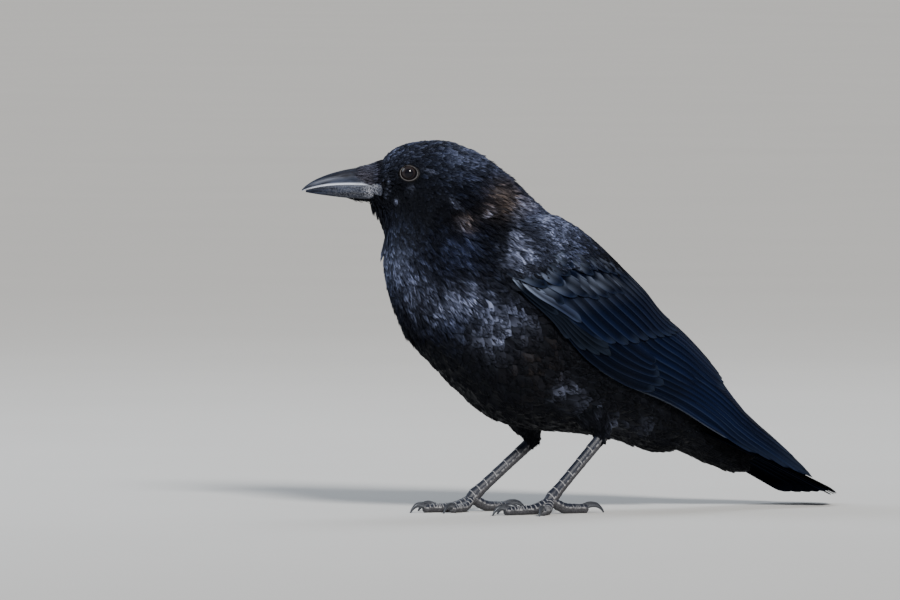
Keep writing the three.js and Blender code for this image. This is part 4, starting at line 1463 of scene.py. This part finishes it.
def medianFeathers():
    made = []
    count = 11
    draw = np.random.default_rng(23)
    for row, (first, last, size) in enumerate(medianRows):
        tips = np.stack([np.linspace(a, b, count) for a, b in zip(first, last)], -1)
        tips = tips + draw.normal(size=tips.shape) * (0.09, 0.9)

        def path(order, at, angle):
            bend = draw.uniform(2, 6)
            return [(at - 1.3, angle + bend), (at - 0.6, angle + bend / 2), (at, angle)]

        def glow(order):
            return 0.4, 0.9, draw.uniform(0.02, 0.26) + 0.12 * row * (order < 5)

        some = feathersTo(
            tips, path, inner=size, outer=lambda order: size * draw.uniform(0.7, 1.0), round=0.66, glow=glow,
            tone=lambda order: (draw.uniform(0.2, 0.65), 0, 0),
        )
        for feather in some:
            stations, angles = np.array(feather["path"]).T
            covers = wingCover(stations, angles)
            feather["lift"] = (covers[0] - 1.5, covers[1] + 0.1 + 0.35 * row, covers[2] + 0.5 + 0.35 * row)
        made += some
    return made


def handFeathers():
    def path(order, at, angle):
        return [(7.3 + 0.1 * order, 89.5 - 1.5 * order), (8.8, 89.7 - 1.5 * order), (at, angle)]

    return feathersTo(
        rowTips["hand"], path, inner=5, outer=2.2, round=0.9,
        lift=rising((1.6, 3.1, 3.2), (0.25, 0.25, 0.25)), tone=(0.1, 0.8, 0.0),
    )


def alulaFeathers():
    return [
        {"path": [(7.2, 88.5), (7.8, 89), (8.4, 88.5), (8.95, 87)], "inner": 3, "outer": 1.8, "round": 0.86,
         "lift": (2.2, 4.4, 4.3), "tone": (0.1, 0.7, 0.0), "glow": (0.0, 0.3, 0.8)},
        {"path": [(7.3, 86), (8.0, 86), (8.8, 83.8), (9.59, 81)], "inner": 3.2, "outer": 2.2, "round": 0.9,
         "lift": (2.8, 5.4, 5.4), "tone": (1, 0, 0.06), "glow": (-0.2, 0.75, 1.0)},
    ]


# Each kind of feather: its maker, how far the inner web sinks, and the solids that it takes the place of.
wingParts = {
    "primaries": (primaryFeathers, 0.8, ("primaries",)),
    "secondaries": (secondaryFeathers, 0.8, ("secondaries",)),
    "greater_coverts": (greaterFeathers, 0.7, ()),
    "median_coverts": (medianFeathers, 0.3, ("shoulder",)),
    "hand_coverts": (handFeathers, 0.5, ("hand",)),
    "alula": (alulaFeathers, 0.2, ()),
}
bed = {
    "rows": 60, "columns": 40, "span": (6.95, 15.2), "places": (0.03, 0.97),
    "below": 2.2, "lowest": 0.5, "back": 0.1,
}


# A thin plate that closes the wing behind its feathers.
def wingBed(name, side):
    ats, places = np.linspace(*bed["span"], bed["rows"]), np.linspace(*bed["places"], bed["columns"])
    a, p = np.meshgrid(ats, places, indexing="ij")
    top, edge = wingTop(a), wingEdge(a)
    angle = top + (edge - top) * p
    lift = np.maximum(np.minimum(wingCover(a, angle) - bed["below"], bed["below"]), bed["lowest"])
    over, under = (wingForm.point(a, angle, side, height) for height in (lift, bed["back"]))
    points = np.concatenate([over, under]).reshape(-1, 3)
    faces = flipped(plateFaces(*a.shape), side == left)
    makePiece("wing_bed_" + name, points, faces, skinDown, tone=markings(points))


def growWings():
    for name, side in sides.items():
        for part, (feathers, tilt, nodes) in wingParts.items():
            piece = quillPiece(f"wing_{part}_{name}", wingForm, feathers(), side, flight, tilt=tilt)
            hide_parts(*(f"wing_{name}_{node}" for node in nodes))
        wingBed(name, side)


growWings()
growCoverts()
print("wings made")

tail = {
    "root": (138, 0, 56.7), "pitch": 23.5, "length": 120, "shorter": 0.55, "feathers": 6, "fan": 0.95,
    "step": 0.75, "arch": 0.0055, "first": 1.2, "spacing": 3.0, "inner": 10, "outer": 7, "bow": 0.8,
    "apart": 0.4,  # the share of a step that the right half lies below the left
}


def tailPieces():
    form = Plate(tail["root"], tail["pitch"], tail["arch"])
    for name, side in sides.items():
        feathers = []
        for order in range(tail["feathers"]):
            reach = tail["length"] - tail["shorter"] * order**2
            start = tail["first"] + tail["spacing"] * order
            out = reach * math.tan(math.radians(tail["fan"] * (order + 0.4)))
            drop = -tail["step"] * (order + (tail["apart"] if side == right else 0))
            feathers.append({
                "path": [(reach * third / 3, start + out * third / 3) for third in range(4)],
                "inner": tail["inner"], "outer": tail["outer"], "round": 0.93,
                "lift": (drop, drop + tail["bow"], drop), "tone": (0.06, 0, 0),
            })
        piece = quillPiece(f"tail_feathers_{name}", form, feathers, side, rectrix, lag=0.1, wrap=False)
        if side == left:
            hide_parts("tail")


# Coverts above and below the root of the tail; they end at the stations "ending", read round it.
tailCovertCoat = {
    "span": (14.2, 16.6), "arc": (0, 180),
    "stations": (14, 16, 17), "gap": (4.2, 4.0, 4.0), "length": (30, 34, 34), "half": (4.6, 4.6, 4.2),
    "low": (-1.6, -1.2, -0.8), "high": (0.6, 0.6, 0.4), "ruffle": 0.6, "stray": 5,
    "lengthRound": ((0, 90, 180), (1.0, 0.8, 1.05)),
    "fan": {"count": 7, "start": 0.25, "startSpread": 0.5, "half": 0.42, "spread": 16, "loose": 0.6},
    "ending": ((0, 90, 150, 180), (18.2, 17.9, 17.5, 17.1)), "ragged": 1.1, "shortest": 6,
}
# The last feathers of the belly hang a little below them.
ventCoat = {
    "span": (13.45, 14.0), "arc": (146, 180),
    "stations": (13.4, 14), "gap": 3.6, "length": (27, 22), "half": (4.2, 3.8), "low": (-1.5, -1.5),
    "high": (2.2, 1.6), "ruffle": 0.6, "stray": 5,
}


def growTailCoverts():
    sizes = tailCovertCoat
    roots = rootsOn(body, sizes)
    ending = np.interp(roots["angle"], *sizes["ending"])
    ending = ending - sizes["ragged"] * chance.random(len(ending)) ** 2
    roots["length"] = np.minimum(roots["length"], (ending - roots["at"]) * stationLength)
    roots = pickRows(roots, roots["length"] > sizes["shortest"])
    coat("coat_tail_coverts", body, roots, vaneLook, sizes["fan"])
    coat("coat_vent", body, rootsOn(body, ventCoat), vaneLook, sizes["fan"])


tailPieces()
growTailCoverts()
print("tail made")

# The bill: along, ridge, gape, under edge, half width.
billStations = [
    (-70, 228.5, 211, 203.6, 9.2), (-81, 227.2, 212, 203.6, 9.2), (-92, 225.2, 213.2, 204.2, 8.2),
    (-104, 223.2, 213.4, 205, 6.6), (-115, 220.2, 212.8, 206.3, 4.7), (-124, 216.4, 211.4, 207.6, 2.9),
    (-129.5, 212.8, 210.1, 208.6, 1.5), (-132, 210.4, 209.2, 208.4, 0.7),
]
billLook = {
    "rows": 120, "arc": 40, "palate": 7, "gap": 0.22, "lip": 0.18, "lipWidth": 0.16,
    # How a jaw is marked: `away` runs round from the cutting edge in radians, `share` from face to tip.
    # line and gleam are a painted highlight along the cutting edge and a painted sheen above it.
    "upper": {
        "round": 0.85, "line": 1, "flakes": 0.25, "allOver": 0,
        "gleam": (0.62, 0.2, 0.62, 0.2, 0.16), "brown": (0.9, 0.35, 0.42, 0.12, 1),
    },
    "lower": {
        "round": 0.6, "line": 0.05, "flakes": 0.95, "allOver": 0.24,
        "gleam": (0.62, 0.2, 0.62, 0.2, 0), "brown": (0.9, 0.35, 0.42, 0.12, 0),
    },
}


# One jaw, above or below the gape.
def jaw(name, which, last):
    sign, look = (1 if which == "upper" else -1), billLook[which]
    rows = billLook["rows"]
    reading = readTable(smoothCurve(billStations[:last]), np.linspace(0, (last - 1) * perStation, rows))
    along, ridge, gape, under, half = (column[:, None] for column in reading.T)
    start = gape + sign * billLook["gap"] / 2
    height = np.maximum(0.4, np.abs((ridge if sign > 0 else under) - start))
    turn = np.linspace(0, np.pi, billLook["arc"])[None]
    nearest, out = np.minimum(turn, np.pi - turn), np.sign(np.cos(turn))
    across = out * half * np.abs(np.cos(turn)) ** look["round"]
    lip = bell(nearest, billLook["lipWidth"]) * billLook["lip"]
    arch = turned(along, across + out * lip, start + sign * height * np.sin(turn), headTurn)
    wide = 0.8
    inner = np.linspace(-wide, wide, billLook["palate"])[None]
    palate = turned(along, half * inner, start + sign * 0.35 * (1 - inner**2), headTurn)
    rings = np.concatenate([arch, palate], 1)
    columns = rings.shape[1]
    away = np.concatenate([nearest, 0 * inner], 1) * np.ones((rows, 1))
    share = np.linspace(0, 1, rows)[:, None]

    def spot(wayRound, roundWidth, wayAlong, alongWidth, amount):
        return bell(away - wayRound, roundWidth) * bell(share - wayAlong, alongWidth) * amount

    # The pale line is a painted highlight along the cutting edge; the gleam added to it below is a painted
    # sheen.
    line = np.exp(-((away / (0.055 + 0.17 * share)) ** 4)) * smoothStep(share, 0.02, 0.2) * look["line"]
    flakes = smoothStep(-share, -0.36, -0.26) * bell(away - 0.4, 0.7) * look["flakes"]
    flakes = flakes + look["allOver"] * smoothStep(-share, -0.9, -0.4)
    tone = np.stack([line + spot(*look["gleam"]), flakes, spot(*look["brown"])], -1).reshape(-1, 3)
    around = np.concatenate([turn / np.pi, 1 + (inner + wide)], 1) * np.ones((rows, 1)) / 2.7
    flatMap = np.stack([around, share * np.ones((1, columns))], -1).reshape(-1, 2)
    flatMap = np.concatenate([flatMap, [[0.5, -0.01], [0.5, 1.01]]])
    tone = np.clip(np.concatenate([tone, np.zeros((2, 3))]), 0, 1)
    faces = flipped(ringFaces(rows, columns), sign > 0)
    piece = makePiece(name, withEnds(rings), faces, bill, {"hide": flatMap}, tone)
    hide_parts("bill_" + which)


# The bare corner of the gape, which runs back from the horn into the face.
gape = {
    "front": -0.1, "back": 0.95, "upper": 93, "lower": 126, "rows": 36, "columns": 32,
    "lift": 0.15, "depth": 2.4, "fall": 4, "rounded": 1.6,
    "pleats": 26, "slant": 5, "pleatDepth": 0.12,
    "flakes": 0.95, "fading": 0.75,
}


def gapeCorner(name, side):
    along, across = np.meshgrid(
        np.linspace(0, 1, gape["rows"]), np.linspace(-1, 1, gape["columns"]), indexing="ij"
    )
    at = gape["front"] + (gape["back"] - gape["front"]) * along
    middle = (gape["upper"] + gape["lower"]) / 2 + gape["fall"] * along
    half = (gape["lower"] - gape["upper"]) / 2 * np.sqrt(np.clip(1 - along**3, 0.01, 1))
    angle = middle + half * across
    rim = np.maximum(np.abs(across) ** 4, along**6)
    pleats = gape["pleatDepth"] * np.sin(gape["pleats"] * across + gape["slant"] * along) * (1 - rim)
    over = body.point(at, angle, side, gape["lift"] + pleats - gape["rounded"] * rim)
    points = np.concatenate([over, body.point(at, angle, side, -gape["depth"])])
    flakes = (gape["flakes"] - gape["fading"] * along) * (1 - rim)
    tone = np.stack([0 * flakes, flakes, 0 * flakes], -1).reshape(-1, 3)
    flatMap = np.stack([0.15 + 0.1 * across, 0.2 - 0.13 * along], -1).reshape(-1, 2)
    faces = flipped(plateFaces(*at.shape), side == left)
    makePiece(name, points, faces, bill, {"hide": np.tile(flatMap, (2, 1))}, np.tile(tone, (2, 1)))


for sideName, side in sides.items():
    gapeCorner("gape_corner_" + sideName, side)
jaw("bill_horn_upper", "upper", 8)
jaw("bill_horn_lower", "lower", 7)

# Bristles that lie forward over the nostrils, and the spiky feathers of the chin.
billForm = Form([(headTurn, (a, r), (a, 2 * g - r), h, 0.5) for a, r, g, u, h in billStations])
chinForm = Form([(headTurn, (a, 2 * g - u), (a, u), h, 0.5) for a, r, g, u, h in billStations])
bristleLook = {**strandLook, "stops": (0.2, 0.5, 0.8), "widths": (1.0, 0.85, 0.5)}
bristles = {
    "span": (0.1, 1.6), "arc": (0, 88),
    "stations": (0, 1, 2), "length": (16, 15, 8), "half": (0.34, 0.32, 0.26), "low": (-0.2, 0, 0.1),
    "high": (0.5, 0.45, 0.3), "gap": 0.95, "ruffle": 0.5, "stray": 7,
    "lengthRound": ((0, 30, 60, 88), (0.75, 0.95, 1.0, 0.45)), "wayRound": ((0, 45, 84), (6, -4, -16)),
    "raised": 0.7, "raiseLow": 1.7, "raiseHigh": 0.6,  # how they stand up at the face
    # Their tone (sheen, worn, glint) and what the raised ones add to it; the sheen and glints are painted
    # light.
    "ground": (0.16, 0.17, 0.06), "raisedPaint": (0.1, -0.05, 0.1),
}
foreheadEdge = {
    "span": (0.45, 0.98), "arc": (0, 78),
    "stations": (0.4, 1.0), "length": (7, 6), "half": (0.45, 0.4), "low": (2.6, 2.4), "high": (1.0, 0.9),
    # its paint adds painted sheen and glints to its markings
    "gap": 0.95, "ruffle": 0.7, "stray": 16, "paint": (0.25, 0.1, 0.08),
}
chin = {
    "span": (0.6, 2.9), "arc": (125, 180),
    "stations": (0, 1, 2, 3), "length": (11, 10, 7, 4), "half": (0.42, 0.4, 0.36, 0.32),
    "low": (-0.3, -0.2, -0.1, -0.1), "high": (3.2, 2.6, 1.6, 0.6),
    "gap": 0.95, "ruffle": 2.0, "stray": 12, "way": 180,
    "highest": ((0.6, 2.4), (125, 161)),
}


def growBristles():
    roots = rootsOn(billForm, bristles)
    raised = bell(roots["at"], bristles["raised"]) * smoothStep(-roots["angle"], -60, -25)
    roots["low"] = roots["low"] + bristles["raiseLow"] * raised
    roots["high"] = roots["high"] + bristles["raiseHigh"] * raised
    roots["paint"] = np.array(bristles["ground"]) + np.array(bristles["raisedPaint"]) * raised[:, None]
    coat("coat_nasal_bristles", billForm, roots, bristleLook)
    coat("coat_forehead_edge", billForm, rootsOn(billForm, foreheadEdge), bristleLook)
    roots = rootsOn(chinForm, chin)
    roots = pickRows(roots, roots["angle"] > np.interp(roots["at"], *chin["highest"]))
    coat("coat_chin", chinForm, roots, bristleLook)


# Spiky feathers down the chin and throat, and the tuft that stands out below them.
spiky = {**pointedLook, "thick": 0.6, "widths": (0.8, 1.0, 0.4)}
beard = {
    "span": (0.05, 2.3), "arc": (142, 180),
    "stations": (0, 1.5, 3.4), "length": (5, 6.5, 9), "half": (0.7, 0.85, 0.9), "low": (-1, -1, -1),
    "high": (2.2, 3.4, 2.4), "gap": 1.6, "ruffle": 4.0, "stray": 16,
    "fan": {"count": 4, "start": 0.3, "startSpread": 0.4, "half": 0.2, "spread": 9, "loose": 0.5},
    "hollow": 0.45, "sink": 0.6, "hollowHigh": 2.6, "hollowFall": 3.2,  # at the hollow above the tuft
}
tuft = {
    "span": (2.3, 2.8), "arc": (148, 180),
    "stations": (2.3, 2.8), "length": (6, 7), "half": (1.2, 1.3), "low": (-2.2, -1.6), "high": (8.2, 4.6),
    "gap": 1.1, "ruffle": 3.0, "stray": 16,
}


def growBeard():
    roots = rootsOn(body, beard)
    hollow = bell(roots["at"] - throat["at"], beard["hollow"])
    roots["low"] = roots["low"] - throat["depth"] * beard["sink"] * hollow
    lowered = np.minimum(roots["high"], beard["hollowHigh"]) - beard["hollowFall"] * hollow
    roots["high"] = np.where(hollow > 0.3, lowered, roots["high"])
    coat("coat_beard", body, roots, spiky, beard["fan"])
    look = {**spiky, "thick": 0.9, "widths": (0.9, 1.0, 0.6)}
    coat("coat_throat_tuft", body, rootsOn(body, tuft), look, beard["fan"])


growBristles()
growBeard()
print("bill made")


# The eyeball bulges a little at the cornea, with a faint groove round it: (middle, width, height).
cornea = ((0, 0.7, 0.035), (1.0, 0.25, -0.02))


def eyePieces():
    rows, columns = eye["rings"], eye["segments"]
    tilt = np.concatenate([[0.012], np.linspace(0.05, np.pi - 0.012, rows - 1)])[:, None]
    spin = np.arange(columns)[None] * 2 * np.pi / columns
    bulge = 1
    for middle, width, height in cornea:
        bulge = bulge + height * bell(tilt - middle, width)
    bulge = eye["radius"] * bulge
    away = np.sin(np.minimum(tilt, np.pi / 2)) * np.ones((1, columns))
    tone = np.concatenate([np.repeat(away.reshape(-1, 1), 3, 1), [[0, 0, 0], [1, 1, 1]]])
    for name, side in sides.items():
        along = bulge * np.sin(tilt) * np.cos(spin)
        high = bulge * np.sin(tilt) * np.sin(spin)
        out = side * bulge * np.cos(tilt) * np.ones_like(spin)
        points = turned(along, out, high, headTurn) + eyeSpot[name]
        faces = flipped([np.roll(f, -1, 1) for f in ringFaces(rows, columns)], side == right)
        ball = makePiece("eyeball_" + name, withEnds(points), faces, eyeGlass, tone=tone)
        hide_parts("eye_" + name)


# Each lid: (distance from the eye's axis, distance out from the face, how pale).
lidProfile = [
    (4.55, -2.6, 0), (4.7, -0.5, 0.05), (4.9, 0.2, 0.4), (5.05, 0.36, 1), (5.22, 0.38, 0.55),
    (5.4, 0.25, 0.08), (5.65, 0.0, 0.0), (5.85, -0.3, 0), (6.6, -0.55, 0), (7.6, -0.95, 0), (8.4, -2.0, 0),
    (8.0, -4, 0), (5.0, -4, 0),
]
lids = {
    "around": 120, "beads": 31, "beadHeight": 0.012,
    "fringe": (5.72, 6.4, 7.1), "fringeSink": 0.45,  # the rings of tiny feathers round them
    "fan": {"count": 3, "start": 0.2, "startSpread": 0.4, "half": 0.16, "spread": 14, "loose": 0.15},
}


# The face round the eye as a plane: distance out at its centre, and its slope back and up.
def findFace():
    at, angle = np.meshgrid(np.linspace(0.8, 3.4, 60), np.linspace(50, 120, 60))
    points = body.point(at, angle, left, -0.6).reshape(-1, 3)
    axes = [turned(*axis, headTurn) for axis in ((1, 0, 0), (0, -1, 0), (0, 0, 1))]
    along, out, high = (points @ axis for axis in axes)
    along, high = along - eye["along"], high - eye["height"]
    near = np.hypot(along, high) < 7
    table = np.stack([np.ones(near.sum()), along[near], high[near]], 1)
    return np.linalg.lstsq(table, out[near], rcond=None)[0]


faceOut, faceBack, faceUp = findFace()


# Places on that plane: `at` is the distance from the eye's axis, `angle` goes round it.
class EyeRim:
    def point(self, at, angle, side, lift):
        at, angle, side, lift = spreadArrays(at, angle, side, lift)
        along = at * eye["wide"] * np.cos(np.radians(angle))
        high = at * eye["tall"] * np.sin(np.radians(angle))
        out = faceOut + faceBack * along + faceUp * high - lids["fringeSink"] + lift
        return turned(eye["along"] + along, side * out, eye["height"] + high, headTurn)


# Tiny feathers that close in round the lids, in rings, leaning back the way the head's coat lies.
def growLidFringe():
    found = []
    for reach in lids["fringe"]:
        count = round(reach * 7)
        spin = (np.arange(count) + 0.5 * (round(reach * 10) % 2)) / count * 360
        for side in (left, right):
            found.append(np.stack([np.full(count, reach), spin, np.full(count, side)], 1))
    at, angle, side = np.concatenate(found).T
    ahead = np.sin(np.radians(angle))
    roots = {
        "at": at, "angle": angle, "side": side, "length": chance.uniform(2.0, 2.9, len(at)),
        "half": chance.uniform(0.5, 0.7, len(at)), "way": -34 * ahead + chance.normal(size=len(at)) * 8,
        "curl": -14 * ahead, "low": np.full(len(at), -0.3), "high": 0.25 + 0.25 * chance.random(len(at)),
        "tone": 0.15 + 0.5 * chance.random(len(at)),
    }
    coat("coat_lid_fringe", EyeRim(), roots, vaneLook, lids["fan"])


def lidPieces():
    columns = lids["around"]
    spin = np.arange(columns)[None] * 2 * np.pi / columns
    reach, out, pale = (np.array(v)[:, None] for v in zip(*lidProfile))
    beads = 1 + lids["beadHeight"] * np.sin(spin * lids["beads"]) * pale
    along = reach * eye["wide"] * np.cos(spin) * beads
    high = reach * eye["tall"] * np.sin(spin) * beads
    raised = out + faceOut + faceBack * along + faceUp * high
    tone = np.repeat((pale + 0 * spin).reshape(-1, 1), 3, 1)
    number = np.arange(along.size).reshape(along.shape)
    following = np.roll(number, -1, 1)
    below, belowNext = np.roll(number, -1, 0), np.roll(following, -1, 0)
    quads = np.stack([number, following, belowNext, below], -1).reshape(-1, 4)
    for name, side in sides.items():
        points = turned(along, side * raised, high, headTurn) + besideHead(side, 0)
        makePiece("eyelids_" + name, points, flipped([quads], side == right), lidSkin, tone=tone)


eyePieces()
lidPieces()
growLidFringe()
print("eyes made")

sole = 0.5  # how much of a toe's round underside the floor flattens
foot = {
    "rowGap": 0.3, "shankAround": 36, "toeAround": 32, "clawRows": 40, "clawAround": 20,
    "plates": 0.3, "papillae": 0.22, "seamDepth": 0.3,
    "shankCuts": (-0.1, 0.12, 0.29, 0.46, 0.62, 0.75, 0.85, 0.93, 1.1),  # where its plates end
    "scute": 2.7,  # length of a toe's plates
    "shankFront": 84, "toeFront": 70,  # degrees either side of the front that the plates cover
    "shankSeam": 0.17, "toeSeam": 0.15,
}
clawGroove = {"at": 108, "width": 14, "depth": 0.14, "pale": 0.5, "dusty": 0.25}


def heading(degrees):
    return np.array([-math.cos(math.radians(degrees)), -math.sin(math.radians(degrees)), 0])


def placeOn(leg, way, reach, height):
    spot = np.array(leg["foot"], float) + way * reach
    spot[2] = height
    return spot


def tarsusLimb(leg):
    heel, base = leg["heel"], leg["foot"]
    sizes = ((-0.06, 3.6), (0.03, 4.5), (0.14, 4), (0.5, 3.7), (0.82, 3.8), (0.97, 4.5))
    joints = [(between(heel, base, share), radius) for share, radius in sizes]
    return Limb(joints + [(np.array(base) + [-2.5, 0, -2.6], 3.6)], 0.75)


def toeLimbs(leg, label):
    way = heading(leg["heading"] + leg["turns"][label])
    length, radius, reach = toeSizes[label]
    lie = radius - sole
    toe = [
        (0.02, leg["foot"][2] - 1, 0.95), (0.22, lie + 2.6, 1), (0.42, lie + 0.5, 1.02),
        (0.56, lie + 0.35, 0.93), (0.7, lie, 1), (0.84, lie + 0.2, 0.88), (1, lie - 0.1, 0.92),
        (1.06, lie + 0.1, 0.55),
    ]
    nail = [
        (-1.5, radius + 0.6, 2.3), (reach * 0.25, radius + 2, 2.1), (reach * 0.6, radius + 1.6, 1.6),
        (reach * 0.88, radius - 0.9, 0.9), (reach, 0.1, 0.5),
    ]
    return (
        Limb([(placeOn(leg, way, length * share, height), radius * size) for share, height, size in toe]),
        Limb([(placeOn(leg, way, length + far, height), size) for far, height, size in nail], 0.8),
    )


def fromFront(angle):
    return np.abs((angle + 180) % 360 - 180)


# Overlapping plates down the front and grey pads behind; `cuts` are where the plates end.
def scaledRelief(cuts, front, seam, seed):
    def relief(a, g):
        away = fromFront(g)
        bend = a + 0.5 * np.cos(np.radians(away)) * 1.2
        order = np.clip(np.searchsorted(cuts, bend) - 1, 0, len(cuts) - 2)
        start, end = cuts[order], cuts[order + 1]
        share = np.clip((bend - start) / (end - start), 0, 1)
        onFront = smoothStep(-away, -front - 14, -front)
        line = bell(np.minimum(np.abs(bend - start), np.abs(end - bend)), seam) * onFront
        edge = bell(away - front - 8, 7)
        bumps = ripple(np.stack([a * 2.2, g * 0.12, 0 * a], -1), 1.0, seed)
        lift = onFront * (foot["plates"] * share**1.5 - 0.12) - foot["seamDepth"] * line
        lift = lift + (1 - onFront) * foot["papillae"] * bumps
        seams = np.clip(line + 0.75 * edge * smoothStep(bumps, -0.5, 0.6), 0, 1)
        return lift, np.stack([seams, 1 - onFront, onFront], -1)

    return relief


def nailRelief(a, g):
    groove = bell(fromFront(g) - clawGroove["at"], clawGroove["width"])
    rest = 1 - a / a.max()
    tone = np.stack([groove * clawGroove["pale"] * rest, clawGroove["dusty"] * rest, 0 * a], -1)
    return -clawGroove["depth"] * groove * rest, tone


# A limb that nowhere goes below the floor.
class OnFloor:
    def __init__(self, limb):
        self.limb = limb

    def point(self, at, angle, side, lift):
        points = self.limb.point(at, angle, side, lift)
        points[..., 2] = np.maximum(points[..., 2], 0.0)
        return points


def limbTube(limb, rows, columns, relief):
    return tube(OnFloor(limb), np.linspace(0, limb.length, rows), columns, relief)


def legPieces():
    for name, leg in legs.items():
        shank = tarsusLimb(leg)
        cuts = np.array(foot["shankCuts"]) * shank.length
        relief = scaledRelief(cuts, foot["shankFront"], foot["shankSeam"], 5)
        hides = [limbTube(shank, int(shank.length / foot["rowGap"]), foot["shankAround"], relief)]
        nails = []
        for order, label in enumerate(toeSizes):
            toe, nail = toeLimbs(leg, label)
            spans = np.linspace(0, 1, round(toe.length / foot["scute"]) + 1)
            cuts = (spans - 0.06 * np.sin(spans * 9)) * (toe.length + 1)
            relief = scaledRelief(cuts, foot["toeFront"], foot["toeSeam"], 20 + order)
            hides.append(limbTube(toe, int(toe.length / foot["rowGap"]), foot["toeAround"], relief))
            nails.append(limbTube(nail, foot["clawRows"], foot["clawAround"], nailRelief))
        skinned = joinParts("leg_hide_" + name, hides, hide)
        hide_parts("tarsus_" + name, *(f"toe_{name}_{label}" for label in toeSizes))
        horn = joinParts("claw_horn_" + name, nails, claw)
        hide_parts(*(f"claw_{name}_{label}" for label in toeSizes))


legPieces()
print("legs made")

# Floor, soft lights and camera.
studio = {
    "floor": 80.0, "floorSides": 96, "floorColors": ((0.5, 0.5, 0.49, 1), (0.54, 0.54, 0.53, 1)),
    "world": (0.62, 0.64, 0.68, 1), "worldStrength": 0.34, "middle": (0, 0, 0.13),
    "lens": 615.4, "distance": 10.0, "azimuth": -30, "elevation": 2, "aimAcross": -35.75, "aimHeight": 138.5,
}
lamps = {
    "key": {"azimuth": -13, "elevation": 30, "far": 2, "degrees": 12, "power": 6, "color": (1, 0.97, 0.93)},
    "fill": {"azimuth": -125, "elevation": 30, "far": 2.4, "size": 1.4, "power": 30, "color": (0.8, 0.88, 1)},
    "back": {"azimuth": 140, "elevation": 55, "far": 2.6, "size": 1.2, "power": 26, "color": (0.85, 0.92, 1)},
}


def direction(azimuth, elevation):
    a, e = math.radians(azimuth), math.radians(elevation)
    return np.array([math.sin(a) * math.cos(e), -math.cos(a) * math.cos(e), math.sin(e)])


def aim(thing, spot, target):
    thing.location = spot
    thing.rotation_mode = "QUATERNION"
    thing.rotation_quaternion = Vector(target - spot).to_track_quat("-Z", "Y")
    bpy.context.scene.collection.objects.link(thing)


def makeFloor():
    reach, count = studio["floor"], studio["floorSides"]
    mesh = bpy.data.meshes.new("floor")
    turns = np.linspace(0, 2 * np.pi, count + 1)[:-1]
    mesh.from_pydata([(reach * math.cos(t), reach * math.sin(t), 0) for t in turns], [], [list(range(count))])
    material, tree, shader = newMaterial("paleFloor", Roughness=0.9)
    wire(tree, shader, Base_Color=mixColor(tree, grainOf(tree, 3.0, 4.0), *studio["floorColors"]))
    mesh.materials.append(material)
    floor = bpy.data.objects.new("floor", mesh)
    bpy.context.scene.collection.objects.link(floor)
    floor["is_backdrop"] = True


def makeLights():
    world = bpy.data.worlds.new("studio")
    world.use_nodes = True
    background = world.node_tree.nodes["Background"]
    background.inputs[0].default_value = studio["world"]
    background.inputs[1].default_value = studio["worldStrength"]
    bpy.context.scene.world = world
    middle = np.array(studio["middle"])
    for name, lamp in lamps.items():
        if "degrees" in lamp:
            light = bpy.data.lights.new(name, "SUN")
            light.angle = math.radians(lamp["degrees"])
        else:
            light = bpy.data.lights.new(name, "AREA")
            light.shape, light.size = "DISK", lamp["size"]
        light.energy, light.color = lamp["power"], lamp["color"]
        spot = middle + direction(lamp["azimuth"], lamp["elevation"]) * lamp["far"]
        aim(bpy.data.objects.new(name, light), spot, middle)


def makeCamera():
    lens = bpy.data.cameras.new("camera")
    lens.lens, lens.sensor_width = studio["lens"], 36
    camera = bpy.data.objects.new("camera", lens)
    back = direction(studio["azimuth"], studio["elevation"])
    a = math.radians(studio["azimuth"])
    target = np.array([math.cos(a), math.sin(a), 0]) * studio["aimAcross"] + [0, 0, studio["aimHeight"]]
    target = (target + shift) / 1000
    aim(camera, target + back * studio["distance"], target)
    bpy.context.scene.camera = camera


makeFloor()
makeLights()
makeCamera()
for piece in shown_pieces():
    print(piece.name, len(piece.data.loops) - 2 * len(piece.data.polygons))
